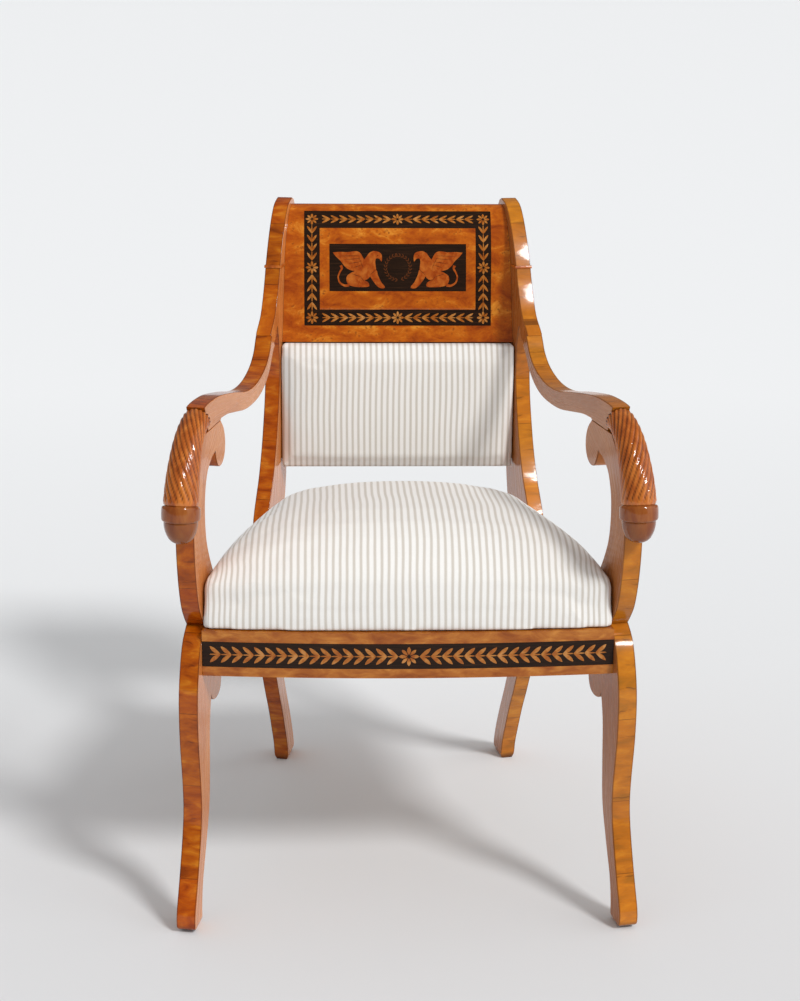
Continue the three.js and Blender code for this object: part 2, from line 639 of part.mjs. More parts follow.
// A block's corner lies on the rail's face at depth y; forward is 1 behind the front rail and -1 ahead of
// the rear one
function cornerBlock(y, forward, setback) {
  const far = y + forward * blockLeg;
  const shape = new THREE.Shape([
    [insideWidthAt(y, setback), y], [insideWidthAt(far, setback), far],
    [insideWidthAt(far, setback) - blockFlat, far],
    [insideWidthAt(y, setback) - blockLeg, y + forward * blockFlat],
    [insideWidthAt(y, setback) - blockLeg, y],
  ].map(([x, depth]) => new THREE.Vector2(x, depth)));
  return slabFrom(shape, blockRise);
}

const screwLength = 34;
const screwRadius = 2.2;
const screwHeadRadius = 4.4;
const screwHeadDepth = 3.4;
const screwHeadRim = 0.8;
const screwPointLength = 4;
const screwSides = 10;
const screwGrip = 16;             // how much of the block the head pulls on
const screwInset = 20;            // from the block's corner, along the rail

// A screw along +Y with its head's face at the origin
function screw(swell) {
  const profile = [
    [0, -swell], [screwHeadRadius + swell, -swell], [screwHeadRadius + swell, screwHeadRim],
    [screwRadius + swell, screwHeadDepth + swell], [screwRadius + swell, screwLength - screwPointLength],
    [0, screwLength + swell],
  ].map(([radius, along]) => new THREE.Vector2(radius, along));
  return new THREE.LatheGeometry(profile, screwSides);
}

// Its room in the block and rail, with a bore that lets the head in from the block's slanted face
function screwRoom() {
  const boreRadius = screwHeadRadius + glueGap;
  const bore = new THREE.CylinderGeometry(boreRadius, boreRadius, overrun, screwSides);
  return join(screw(glueGap), moved(bore, 0, screwHeadRim / 2 - overrun / 2, 0));
}

function driven(geometry, y, forward, setback) {
  const headPlace = y + forward * screwGrip;
  const turned = forward > 0 ? geometry.clone().rotateZ(Math.PI) : geometry.clone();
  const x = insideWidthAt(y, setback) - screwInset;
  return turned.translate(x, headPlace, (blockRise[0] + blockRise[1]) / 2);
}

const frontBlockPlace = [frontRailThickness + glueGap, 1, legThickness + glueGap];
const rearBlockPlace = [rearRailPlace - glueGap, -1, stileThickness + glueGap];
const frontBlock = cut(cornerBlock(...frontBlockPlace), driven(screwRoom(), ...frontBlockPlace));
const rearBlock = cut(cornerBlock(...rearBlockPlace), driven(screwRoom(), ...rearBlockPlace));
const frontScrew = driven(screw(0), ...frontBlockPlace);
const rearScrew = driven(screw(0), ...rearBlockPlace);
const frontPilot = driven(screw(glueGap), ...frontBlockPlace);
const frontPilots = [frontPilot, mirrored(frontPilot)];
const rearPilot = driven(screw(glueGap), ...rearBlockPlace);
const rearPilots = [rearPilot, mirrored(rearPilot)];
const frontRail = cut(frontRailWhole, bandRoom, ...frontPilots);
const rearRail = cut(rearRailWhole, ...rearPilots);
const ledger = box([-stileThickness - glueGap - ledgerWidth, -stileThickness - glueGap],
  [legBlockDepth + looseGap, rearRailPlace - blockLeg - looseGap], [blockTop - ledgerHeight, blockTop]);

// Side frames: mortised boards, in the right frame's own place
const stileBoard = boardFrom(stileOutline, [-stileThickness, 0]);
const sideRail = join(
  cut(box([-stileThickness, 0], [legBlockDepth + glueGap, seatDepth + overrun], railRise),
    moved(boardFrom(stileOutline, [-stileThickness - glueGap, glueGap]), 0, -glueGap, 0)),
  sideRailTenon(0));
const frontLeg = cut(boardFrom(legOutline, [-legThickness, 0]),
  seenFromRight(crossTenon(frontTenonDepth, frontTenonRise, legThickness, glueGap)),
  sideRailTenon(glueGap), supportFootTenon(glueGap));
const handRest = cut(hornFrom(0), hornSeamCut([0, sideSpan]));
const handRestRoom = cut(hornFrom(glueGap), hornSeamCut([glueGap, sideSpan]));
const supportBoard = boardFrom(supportOutline, [-armThickness, 0]);
const armSupport = cut(join(supportBoard, supportFootTenon(0), supportHeadTenon(0)),
  handRestRoom);
const armBoard = cut(boardFrom(armOutline, [-armThickness, 0]), stileSeamCut([-glueGap / 2, stileSeamReach]));
const arm = cut(join(armBoard, armTenon(0)),
  hornSeamCut([-sideSpan, glueGap]), handRestRoom, supportHeadTenon(glueGap));
const backStile = cut(stileBoard, stileSeamCut([-stileSeamReach, glueGap / 2]), armTenon(glueGap),
  sideRailTenon(glueGap),
  seenFromRight(crossTenon(rearTenonDepth, railTenonRise, stileThickness, glueGap)),
  seenFromRight(crossTenon(crestTenonDepth, crestTenonRise, stileThickness, glueGap)),
  ...backMortises(glueGap).map(seenFromRight));
const crestBoard = cut(crestWhole, crestBorder(glueGap), crestTablet(glueGap));

// A thin ring moulding is planted round each stile under its scroll
const ringHeight = 4;
const ringProud = 1.5;
const ringRiseShare = 0.545;
const ringMiddle = armHeight + headRise * ringRiseShare;
const ringSlab = box(cutX, [0, sideSpan], [ringMiddle - ringHeight / 2, ringMiddle + ringHeight / 2]);
const ringBlank = boardFrom(stileOutline, [-stileThickness - ringProud, ringProud]);
const ringCore = boardFrom(stileOutline, [-stileThickness - glueGap, glueGap]);
const crestWide = [-frontWidth / 2, frontWidth / 2];
const ringMoulding = cut(
  keep(join(moved(ringBlank, 0, -ringProud, 0), moved(ringBlank, 0, ringProud, 0)), ringSlab),
  moved(ringCore, 0, -glueGap, 0), moved(ringCore, 0, glueGap, 0),
  seenFromRight(cut(boardFrom(crestStrip(-glueGap, crestThickness + glueGap), crestWide),
    ...pastSide(stileThickness))));

// Loose seat: a tenoned frame, interlaced webbing under it, springs, and a stuffed cushion over all
const seatSetback = legThickness + looseGap;
const seatFrameDepth = [frontRailThickness + looseGap, rearRailPlace - looseGap];
const seatFrameRise = [blockTop + glueGap, railTop + seatProud];
const seatTenonRise = middleOf(seatFrameRise, tenonThickness);
const seatSideSet = [seatSetback, seatSetback + seatFrameWidth];
const seatTenonSet = [seatSetback + tenonShoulder, seatSetback + seatFrameWidth - tenonShoulder];
const seatSideDepth = swollen(seatFrameDepth, -seatFrameWidth - glueGap);
const seatSideRight = join(alongRightSide(seatSideSet, seatSideDepth, seatFrameRise),
  alongRightSide(seatTenonSet, swollen(seatSideDepth, tenonLength), seatTenonRise));
const seatMortise = alongRightSide(
  swollen(seatTenonSet, glueGap),
  swollen(seatSideDepth, tenonLength + glueGap),
  swollen(seatTenonRise, glueGap));

function seatCrossRail(depth) {
  const body = cut(box([-frontWidth, frontWidth], depth, seatFrameRise), ...pastSide(seatSetback));
  return cut(body, seatMortise, mirrored(seatMortise));
}
const seatFrontRail = seatCrossRail([seatFrameDepth[0], seatFrameDepth[0] + seatFrameWidth]);
const seatRearRail = seatCrossRail([seatFrameDepth[1] - seatFrameWidth, seatFrameDepth[1]]);

// Webbing straps run over and under each other: at a crossing the strap is up or down by its own thickness
// The pitches of the straps, as shares of the chair's width and of the loose seat's depth
const webPitchShares = { across: 0.1356, along: 0.2222 };
const webPitch = {
  across: frontWidth * webPitchShares.across,
  along: (seatFrameDepth[1] - seatFrameDepth[0]) * webPitchShares.along,
};
const webEase = 3;                // flat strap past each side of a crossing
const webTop = seatFrameRise[0] - glueGap;
const webStep = webThickness + webGap;
const webColumns = [-1, 0, 1];
const seatMiddle = (seatFrameDepth[0] + seatFrameDepth[1]) / 2;

function strapShape([start, end], middle, pitch, isUp) {
  const line = [new THREE.Vector2(start, webTop)];
  for (const column of webColumns) {
    const rise = isUp(column) ? webTop : webTop - webStep;
    const centre = middle + column * pitch;
    line.push(new THREE.Vector2(centre - webWidth / 2 - webEase, rise));
    line.push(new THREE.Vector2(centre + webWidth / 2 + webEase, rise));
  }
  line.push(new THREE.Vector2(end, webTop));
  const under = line.map((point) => new THREE.Vector2(point.x, point.y - webThickness)).reverse();
  return new THREE.Shape([...line, ...under]);
}

const webTackMargin = 8;
const alongWebEnds = [seatFrameDepth[0] + webTackMargin, seatFrameDepth[1] - webTackMargin];
const crossWebSetback = seatSetback + ledgerWidth;

function isAlongUp(column, row) {
  return (column + row) % 2 === 0;
}

function alongWeb(column) {
  const shape = strapShape(alongWebEnds, seatMiddle, webPitch.along, (row) => isAlongUp(column, row));
  const place = column * webPitch.across;
  return boardFrom(shape, [place - webWidth / 2, place + webWidth / 2]);
}

function acrossWeb(row) {
  const ends = [-frontWidth / 2, frontWidth / 2];
  const shape = strapShape(ends, 0, webPitch.across, (column) => !isAlongUp(column, row));
  const place = seatMiddle + row * webPitch.along;
  const strap = boardFrom(shape, [-place - webWidth / 2, -place + webWidth / 2]).rotateZ(-Math.PI / 2);
  return cut(strap, ...pastSide(crossWebSetback));
}

// Waisted coil springs stand on the webbing where the lengthwise strap is uppermost
const springHeight = 72;
const springWire = 3.4;
const springRadius = 32;
const springWaist = 22;
const springTurns = 4.5;
const springSteps = 8;            // to a turn
const springSides = 5;

class SpringPath extends THREE.Curve {
  getPoint(share, target = new THREE.Vector3()) {
    const turn = share * springTurns * Math.PI * 2;
    const radius = springWaist + (springRadius - springWaist) * (2 * share - 1) ** 2 - springWire / 2;
    const rise = springWire / 2 + share * (springHeight - springWire);
    return target.set(Math.cos(turn) * radius, Math.sin(turn) * radius, rise);
  }
}

function springSolid() {
  const section = new THREE.Shape(Array.from({ length: springSides }, (_, side) => {
    const turn = side / springSides * Math.PI * 2;
    return new THREE.Vector2(Math.cos(turn), Math.sin(turn)).multiplyScalar(springWire / 2);
  }));
  const steps = springTurns * springSteps;
  return new THREE.ExtrudeGeometry(section, { steps, extrudePath: new SpringPath(), bevelEnabled: false });
}

const spring = springSolid();
const springPlaces = webColumns.flatMap((column) => webColumns
  .filter((row) => isAlongUp(column, row))
  .map((row) => [column * webPitch.across, seatMiddle + row * webPitch.along, webTop + glueGap]));

// The cushion: upright sides drawn in between the corners, tallest in front, under a full crown
const cushionGap = 1.2;           // the dark line between the cushion and the front rail
const cushionFrontHeight = 58;
const cushionRearHeight = 22;
const cushionCrown = 84;
const cushionSetback = 28;
const cushionFrontBow = 14;
const cushionOverRail = 8;       // how far the cushion laps over the rear rail
const cushionDrawIn = 4;
const cushionCornerRound = 12;
const crownPowers = { across: 2.1, along: 3.5 };
const crownRoundShares = { across: 0.32, along: 0.66 };
const cushionSideColumns = 12;
const cushionCornerSteps = 3;
const cushionRingShares = [0.99, 0.96, 0.9, 0.8, 0.65, 0.45, 0.22];
const cushionSideShares = [[0, 0.25], [0.08, 0], [0.5, 1], [0.93, 0]];
const cushionBase = railTop + cushionGap;
const cushionBack = rearRailPlace + cushionOverRail;
const cushionMiddle = (cushionBack - cushionFrontBow) / 2;
const cushionHalfDepth = (cushionBack + cushionFrontBow) / 2;

// The plan is a unit square with round corners, bent to the rail's bow and the sides' taper
function cushionPlan() {
  const round = cushionCornerRound / cushionHalfDepth;
  const corners = [[1, -1], [1, 1], [-1, 1], [-1, -1]]
    .map(([across, back]) => new THREE.Vector2(across, back).multiplyScalar(1 - round));
  const cornerPoint = (index, step) => {
    const turn = (index - 1 + step / cushionCornerSteps) * quarterTurn;
    return new THREE.Vector2(Math.cos(turn), Math.sin(turn)).multiplyScalar(round).add(corners[index % 4]);
  };
  const plan = [];
  corners.forEach((_, index) => {
    for (let step = 0; step <= cushionCornerSteps; step += 1) plan.push(cornerPoint(index, step));
    for (let step = 1; step < cushionSideColumns; step += 1) {
      plan.push(cornerPoint(index, cushionCornerSteps)
        .lerp(cornerPoint(index + 1, 0), step / cushionSideColumns));
    }
  });
  return plan;
}

function cushionPlace(spot, height, drawIn) {
  const pull = 1 - Math.min(Math.abs(spot.x), Math.abs(spot.y)) ** 2;
  const squeeze = 1 - drawIn * pull / cushionHalfDepth;
  const bow = cushionFrontBow * spot.x ** 2 * (1 - spot.y) / 2;
  const y = cushionMiddle + spot.y * squeeze * cushionHalfDepth + bow;
  return new THREE.Vector3(spot.x * squeeze * insideWidthAt(y, cushionSetback), y, height);
}

function sideHeight(spot) {
  return cushionFrontHeight + (cushionRearHeight - cushionFrontHeight) * (spot.y + 1) / 2;
}

function crownHeight(spot) {
  const across = Math.max(0, 1 - Math.abs(spot.x) ** crownPowers.across) ** crownRoundShares.across;
  const along = Math.max(0, 1 - Math.abs(spot.y) ** crownPowers.along) ** crownRoundShares.along;
  return cushionBase + sideHeight(spot) + cushionCrown * across * along;
}

function cushionBody() {
  const plan = cushionPlan();
  const sideRings = cushionSideShares.map(([up, pull]) => plan.map((spot) =>
    cushionPlace(spot, cushionBase + up * sideHeight(spot), pull * cushionDrawIn)));
  const crownRings = cushionRingShares.map((share) => plan.map((spot) => {
    const inner = spot.clone().multiplyScalar(share);
    return cushionPlace(inner, crownHeight(inner), 0);
  }));
  const middle = new THREE.Vector2(0, 0);
  return tubeOf([...sideRings, ...crownRings], cushionPlace(middle, cushionBase, 0),
    cushionPlace(middle, crownHeight(middle), 0));
}

// A well in its underside, open downwards, holds the springs
const wellMargin = { across: 16, along: 10 };
const wellHalfWidth = webPitch.across + springRadius + wellMargin.across;
const wellHalfDepth = webPitch.along + springRadius + wellMargin.along;
const wellTop = webTop + glueGap * 2 + springHeight;
const seatWell = box(
  [-wellHalfWidth, wellHalfWidth],
  [seatMiddle - wellHalfDepth, seatMiddle + wellHalfDepth],
  [cushionBase - overrun, wellTop]);
const seatCushion = cut(cushionBody(), seatWell);

// Assembly: the two side frames are groups of their own, and the pieces across the chair hang between them
const chair = new THREE.Group();
const rightSide = new THREE.Group();
const leftSide = new THREE.Group();
rightSide.position.x = frontWidth / 2;
rightSide.rotation.z = taper;
leftSide.position.x = -frontWidth / 2;
leftSide.rotation.z = -taper;
chair.add(rightSide, leftSide);

function addPiece(parent, name, geometry, material) {
  const mesh = new THREE.Mesh(geometry, material);
  mesh.name = name;
  parent.add(mesh);
}

function addPair(name, rightGeometry, material, [right, left] = [chair, chair]) {
  addPiece(right, `${name}_right`, rightGeometry, material);
  addPiece(left, `${name}_left`, mirrored(rightGeometry), material);
}

const sides = [rightSide, leftSide];
addPair('front_leg', frontLeg, birch, sides);
addPair('arm_support', armSupport, birch, sides);
addPair('arm', arm, birchSide, sides);
addPair('hand_rest', handRest, carvedBirch, sides);
addPair('back_stile', backStile, birch, sides);
addPair('ring_moulding', ringMoulding, birch, sides);
addPair('side_rail', sideRail, birchSide, sides);
addPair('seat_ledger', ledger, innerPine, sides);
addPiece(chair, 'front_rail', frontRail, birch);
addPiece(chair, 'front_rail_band', frontRailBand, ebonised);
addPiece(chair, 'rear_rail', rearRail, birch);
addPiece(chair, 'crest_board', crestBoard, birch);
addPiece(chair, 'crest_border_veneer', crestBorder(0), ebonised);
addPiece(chair, 'crest_tablet_veneer', crestTablet(0), ebonised);
addPair('corner_block_front', frontBlock, innerPine);
addPair('corner_block_rear', rearBlock, innerPine);
addPair('block_screw_front', frontScrew, screwSteel);
addPair('block_screw_rear', rearScrew, screwSteel);
addPiece(chair, 'back_frame_low', backCrossRail(lowRailRise), innerPine);
addPiece(chair, 'back_frame_high', backCrossRail(highRailRise), innerPine);
addPair('back_frame_side', backStripRight, innerPine);
addPiece(chair, 'back_web_cross', crossWeb, juteWeb);
addPair('back_web_upright', uprightWeb(uprightWebPlace), juteWeb);
addPiece(chair, 'back_pad', backPad, ticking);
addPiece(chair, 'back_cover', backCover, linenCover);
addPiece(chair, 'seat_frame_front', seatFrontRail, innerPine);
addPiece(chair, 'seat_frame_rear', seatRearRail, innerPine);
addPair('seat_frame_side', seatSideRight, innerPine);
webColumns.forEach((column, index) => {
  addPiece(chair, `seat_web_along_${index + 1}`, alongWeb(column), juteWeb);
  addPiece(chair, `seat_web_across_${index + 1}`, acrossWeb(column), juteWeb);
});
springPlaces.forEach((place, index) => {
  addPiece(chair, `seat_spring_${index + 1}`, moved(spring, ...place), springSteel);
});
addPiece(chair, 'seat_cushion', seatCushion, ticking);

// The origin is under the middle of the whole chair
chair.updateMatrixWorld(true);
const extent = new THREE.Box3().setFromObject(chair, true);
chair.position.y = -(extent.min.y + extent.max.y) / 2;

export default chair;
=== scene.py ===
# Klismos armchair in figured birch, with an ebonised and inlaid crest and front rail, gadrooned hand rests,
# a stuffed back panel and a loose sprung seat in striped ticking. Metres; +Z is up and the chair faces -Y.
import math

import bmesh
import bpy
from mathutils import Matrix, Vector
from mathutils.bvhtree import BVHTree
from mathutils.geometry import interpolate_bezier


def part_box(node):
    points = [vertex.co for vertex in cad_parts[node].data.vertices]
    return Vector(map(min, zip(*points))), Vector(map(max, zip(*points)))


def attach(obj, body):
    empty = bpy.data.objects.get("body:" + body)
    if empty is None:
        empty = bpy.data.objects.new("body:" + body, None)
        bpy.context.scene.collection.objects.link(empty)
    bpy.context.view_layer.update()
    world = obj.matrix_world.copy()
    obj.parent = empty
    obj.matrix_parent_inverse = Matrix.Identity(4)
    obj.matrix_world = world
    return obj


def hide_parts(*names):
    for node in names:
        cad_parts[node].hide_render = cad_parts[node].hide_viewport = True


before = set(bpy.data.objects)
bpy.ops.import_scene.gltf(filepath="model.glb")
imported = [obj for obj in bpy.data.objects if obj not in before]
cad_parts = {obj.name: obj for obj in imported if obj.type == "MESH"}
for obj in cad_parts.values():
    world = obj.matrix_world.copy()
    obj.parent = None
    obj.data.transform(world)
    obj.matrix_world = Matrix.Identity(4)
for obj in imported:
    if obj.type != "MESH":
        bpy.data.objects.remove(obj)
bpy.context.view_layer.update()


# Camera: it stands a little left of the chair's middle and above it, as far back as the photograph's
# perspective asks, with a short telephoto lens.
def add_object(name, data):
    """A new object of the scene, at the origin."""
    added = bpy.data.objects.new(name, data)
    bpy.context.scene.collection.objects.link(added)
    return added


camera_place = Vector((-0.0952, -2.63198, 1.2315))
camera_yaw = 0.03502
camera_pitch = 0.27004
camera_roll = 0.0071
camera_data = bpy.data.cameras.new("camera")
camera_data.sensor_width = 36.0
camera_data.lens = 68.98
camera = add_object("camera", camera_data)
camera.matrix_world = (
    Matrix.Translation(camera_place)
    @ Matrix.Rotation(-camera_yaw, 4, "Z")
    @ Matrix.Rotation(math.pi / 2 - camera_pitch, 4, "X")
    @ Matrix.Rotation(camera_roll, 4, "Z")
)
bpy.context.scene.camera = camera


# Side frames: each is five boards of birch, sawn to curved outlines, tenoned together and veneered on the
# narrow faces with figured birch laid across them. All is grained up and French polished to a high gloss.
def linear(hex_colour):
    """A colour written as sRGB hex, as the shader wants it."""
    channels = [int(hex_colour[i : i + 2], 16) / 255 for i in (1, 3, 5)]
    return (*(c / 12.92 if c <= 0.04045 else ((c + 0.055) / 1.055) ** 2.4 for c in channels), 1.0)


def join(source, socket):
    """Links an output, or a node's first output, to a socket."""
    output = source.outputs[0] if isinstance(source, bpy.types.Node) else source
    socket.id_data.links.new(output, socket)


def add_node(tree, kind, inputs=None, stops=None, **settings):
    """Adds one shader node, with its settings, its inputs and a ramp's stops. A node as an input gives its
    first output. A Mix takes its share at 0 and its colours at 6 and 7, and gives them mixed at output 2."""
    made = tree.nodes.new("ShaderNode" + kind)
    for setting, value in settings.items():
        setattr(made, setting, value)
    for socket, value in (inputs or {}).items():
        if isinstance(value, (bpy.types.Node, bpy.types.NodeSocket)):
            join(value, made.inputs[socket])
        else:
            made.inputs[socket].default_value = value
    if stops:
        while len(made.color_ramp.elements) < len(stops):
            made.color_ramp.elements.new(0.5)
        for element, (place, colour) in zip(made.color_ramp.elements, stops):
            element.position = place
            element.color = linear(colour)
    return made


def new_finish(name, **sockets):
    """A material with its shader's constant values, its node tree and the shader itself."""
    material = bpy.data.materials.new(name)
    material.use_nodes = True
    tree = material.node_tree
    shader = tree.nodes["Principled BSDF"]
    for socket, value in sockets.items():
        shader.inputs[socket.replace("_", " ")].default_value = value
    return material, tree, shader


def polished_birch(name, tones, figure, grain, streaks=0.5, leaf_length=None, painted_side_shading=None):
    """French polished birch. tones run from dark to light. figure and grain are cycles to a metre along
    the board, across it and through it, and streaks is how much the grain shows. leaf_length is that of
    the veneer's leaves, in metres. The last argument is a colour painted over all of the right side's faces,
    and how far: painted light for one finish and painted shade for another, as the lamps fall on that side."""
    material, tree, shader = new_finish(name, Coat_Weight=0.55, Coat_Roughness=0.08, Specular_IOR_Level=0.1)
    place = add_node(tree, "TexCoord")
    source = place.outputs["UV" if painted_side_shading else "Object"]
    figure_place = add_node(tree, "Mapping", {"Vector": source, "Scale": figure})
    grain_place = add_node(tree, "Mapping", {"Vector": source, "Scale": grain})
    flame = add_node(
        tree,
        "TexNoise",
        {"Vector": figure_place, "Scale": 1.0, "Detail": 5.0, "Roughness": 0.55, "Distortion": 0.55},
    )
    fibre = add_node(
        tree, "TexNoise", {"Vector": grain_place, "Scale": 1.0, "Detail": 3.0, "Roughness": 0.6}
    )
    tone = add_node(tree, "ValToRGB", {"Fac": flame}, stops=list(zip((0.3, 0.44, 0.56, 0.7), tones)))
    streak = add_node(
        tree, "MapRange", {"Value": fibre, "From Min": 0.5, "From Max": 0.8, "To Max": streaks}
    )
    streaked = add_node(tree, "Mix", {0: streak, 6: tone, 7: linear(tones[0])}, data_type="RGBA")
    colour = streaked.outputs[2]
    # Painted light and shade: the right side's faces are mixed towards the given colour
    if painted_side_shading:
        width_map = add_node(tree, "UVMap", uv_map="width")
        width_share = add_node(tree, "SeparateXYZ", {"Vector": width_map})
        side_shading_share = add_node(tree, "Math", {0: width_share.outputs["Y"], 1: painted_side_shading[1]}, operation="MULTIPLY")
        side_shaded_wood = add_node(tree, "Mix", {0: side_shading_share, 6: colour, 7: linear(painted_side_shading[0])}, data_type="RGBA")
        colour = side_shaded_wood.outputs[2]
    if leaf_length:
        along = add_node(tree, "SeparateXYZ", {"Vector": source}).outputs["X"]
        leaves = {"W": along, "Scale": 1 / leaf_length, "Randomness": 0.7}
        leaf = add_node(tree, "TexVoronoi", leaves, voronoi_dimensions="1D")
        joint = add_node(tree, "TexVoronoi", leaves, voronoi_dimensions="1D", feature="DISTANCE_TO_EDGE")
        ragged_place = add_node(tree, "Mapping", {"Vector": source, "Scale": (6.0, 40.0, 6.0)})
        ragged = add_node(tree, "TexNoise", {"Vector": ragged_place, "Scale": 1.0})
        # Hair cracks run across about every 30 mm where the figure is dark, and wander by up to 12 mm
        wander = add_node(tree, "Math", {0: ragged, 1: 0.012, 2: along}, operation="MULTIPLY_ADD")
        crack = add_node(
            tree,
            "TexVoronoi",
            {"W": wander, "Scale": 34.0},
            voronoi_dimensions="1D",
            feature="DISTANCE_TO_EDGE",
        )
        crack_line = add_node(
            tree,
            "MapRange",
            {"Value": crack, "From Min": 0.01, "From Max": 0.04, "To Min": 0.45, "To Max": 0.0},
        )
        crack_patch = add_node(tree, "MapRange", {"Value": flame, "From Min": 0.5, "From Max": 0.4})
        crack_seen = add_node(tree, "Math", {0: crack_line, 1: crack_patch}, operation="MULTIPLY")
        joint_line = add_node(
            tree,
            "MapRange",
            {"Value": joint, "From Min": 0.002, "From Max": 0.006, "To Min": 0.6, "To Max": 0.0},
        )
        lines = add_node(tree, "Math", {0: joint_line, 1: crack_seen}, operation="MAXIMUM")
        # Painted shade darkens the veneer along its arrises, where the eased edges turn from the light, with
        # some old polish there too; dirt darkens it where the feet stand
        from_middle = add_node(tree, "Math", {0: width_share.outputs["X"]}, operation="ABSOLUTE")
        arris_painted_shade = add_node(
            tree, "MapRange", {"Value": from_middle, "From Min": 0.82, "From Max": 0.97, "To Max": 0.85}
        )
        patchy = add_node(
            tree, "MapRange", {"Value": ragged, "From Min": 0.3, "From Max": 0.6, "To Min": 0.55}
        )
        arris_seen = add_node(tree, "Math", {0: arris_painted_shade, 1: patchy}, operation="MULTIPLY")
        height = add_node(tree, "SeparateXYZ", {"Vector": place.outputs["Object"]}).outputs["Z"]
        foot_dirt = add_node(
            tree,
            "MapRange",
            {"Value": height, "From Min": 0.002, "From Max": 0.013, "To Min": 0.75, "To Max": 0.0},
        )
        foot_dirt_and_arris_shade = add_node(tree, "Math", {0: arris_seen, 1: foot_dirt}, operation="MAXIMUM")
        lines = add_node(tree, "Math", {0: lines, 1: foot_dirt_and_arris_shade}, operation="MAXIMUM")
        shift = add_node(tree, "SeparateColor", {"Color": leaf.outputs["Color"]})
        hue = add_node(tree, "MapRange", {"Value": shift.outputs["Red"], "To Min": 0.494, "To Max": 0.502})
        value = add_node(tree, "MapRange", {"Value": shift.outputs["Green"], "To Min": 0.9, "To Max": 1.1})
        leaf_tone = add_node(tree, "HueSaturation", {"Color": colour, "Hue": hue, "Value": value})
        lined = add_node(tree, "Mix", {0: lines, 6: leaf_tone, 7: linear("#35140a")}, data_type="RGBA")
        colour = lined.outputs[2]
    join(colour, shader.inputs["Base Color"])
    gloss = add_node(tree, "MapRange", {"Value": fibre, "To Min": 0.2, "To Max": 0.34})
    join(gloss, shader.inputs["Roughness"])
    ripple = add_node(tree, "Bump", {"Height": flame, "Strength": 0.2, "Distance": 0.0005})
    join(ripple, shader.inputs["Normal"])
    # The polish has sunk a little over the figure, so its highlights break up
    sunk = add_node(tree, "TexNoise", {"Vector": figure_place, "Scale": 0.8, "Detail": 1.5})
    polish = add_node(tree, "Bump", {"Height": sunk, "Strength": 0.6, "Distance": 0.0009})
    join(polish, shader.inputs["Coat Normal"])
    return material


# The narrow faces: figured birch veneer laid crosswise, so its flames and hair cracks run across the board.
# The right side's are painted paler and more golden, as painted light where they turn towards the key lamp.
cross_veneer = polished_birch(
    "french_polished_figured_birch_veneer",
    ("#7d3403", "#a34b03", "#b55b06", "#cc7a1a"),
    figure=(70.0, 24.0, 24.0),
    grain=(480.0, 70.0, 70.0),
    streaks=0.5,
    leaf_length=0.1,
    painted_side_shading=("#dca034", 0.3),
)
# The broad faces: the boards' own polished birch, paler and pinker, with its grain along the board. The
# right side's are painted brown, as painted shade of the inner faces turned away from the key lamp.
board_birch = polished_birch(
    "french_polished_solid_birch",
    ("#b56a33", "#c3763c", "#cb7f43", "#d3874b"),
    figure=(6.0, 24.0, 24.0),
    grain=(10.0, 260.0, 260.0),
    streaks=0.08,
    painted_side_shading=("#74390d", 0.42),
)

board_thickness = 0.026
side_taper = math.radians(10.9)
half_front = 0.295
rail_bow = 0.017
front_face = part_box("front_rail")[0].y + rail_bow


def side_place(hand):
    """From a side frame's own place, drawn as the right one, to where it stands."""
    return (
        Matrix.Translation((hand * half_front, front_face, 0))
        @ Matrix.Rotation(hand * side_taper, 4, "Z")
        @ Matrix.Diagonal((hand, 1, 1, 1))
    )


def solid_copy(node, weld=0.00002, flat=math.radians(0.4)):
    """A CAD solid's triangles, welded and freed of the edges inside its flat faces."""
    bm = bmesh.new()
    bm.from_mesh(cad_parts[node].data)
    bmesh.ops.remove_doubles(bm, verts=bm.verts, dist=weld)
    bmesh.ops.dissolve_limit(bm, angle_limit=flat, verts=bm.verts, edges=bm.edges)
    return bm


def cut_across(bm, place, normal, **options):
    """Cuts a whole bmesh with a plane."""
    everything = [*bm.verts, *bm.edges, *bm.faces]
    return bmesh.ops.bisect_plane(bm, geom=everything, plane_co=place, plane_no=normal, **options)


def ease_arrises(bm, width, chosen=lambda edge: True, sharp=math.radians(35)):
    """Rounds the sharp edges as a few strokes of glasspaper do."""
    arrises = [
        edge
        for edge in bm.edges
        if len(edge.link_faces) == 2 and edge.calc_face_angle(0) > sharp and chosen(edge)
    ]
    bmesh.ops.bevel(
        bm,
        geom=arrises,
        offset=width,
        offset_type="OFFSET",
        segments=2,
        profile=0.5,
        affect="EDGES",
        material=-1,
        clamp_overlap=False,
    )


def mesh_of(bm, name, materials=()):
    """A mesh with the bmesh's form, and its materials."""
    mesh = bpy.data.meshes.new(name)
    bm.to_mesh(mesh)
    bm.free()
    for material in materials:
        mesh.materials.append(material)
    return mesh


def make_piece(bm, name, materials, replaces=(), smooth_angle=40, body="chair_frame"):
    """Turns a bmesh into a piece that rides on its body and stands for its CAD nodes."""
    mesh = mesh_of(bm, name, materials)
    mesh.shade_smooth()
    mesh.set_sharp_from_angle(angle=math.radians(smooth_angle))
    piece = add_object(name, mesh)
    even = piece.modifiers.new("even_shading", "WEIGHTED_NORMAL")
    even.keep_sharp = True
    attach(piece, body)
    if replaces:
        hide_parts(*replaces)
    return piece


def smooth_line(points, steps):
    """A smooth line through the points, as close points. Each span's handles reach a sixth of the way
    between the points on both sides of its end, which joins the spans smoothly."""
    points = [Vector(point) for point in points]
    spread = [2 * points[0] - points[1], *points, 2 * points[-1] - points[-2]]
    line = []
    for before, start, end, after in zip(spread, spread[1:], spread[2:], spread[3:]):
        line += interpolate_bezier(
            start, start + (end - before) / 6, end - (after - start) / 6, end, steps + 1
        )[:-1]
    return [*line, points[-1]]


def run_of(line):
    """How far along the line each of its points lies."""
    run = [0.0]
    for start, end in zip(line, line[1:]):
        run.append(run[-1] + (end - start).length)
    return run


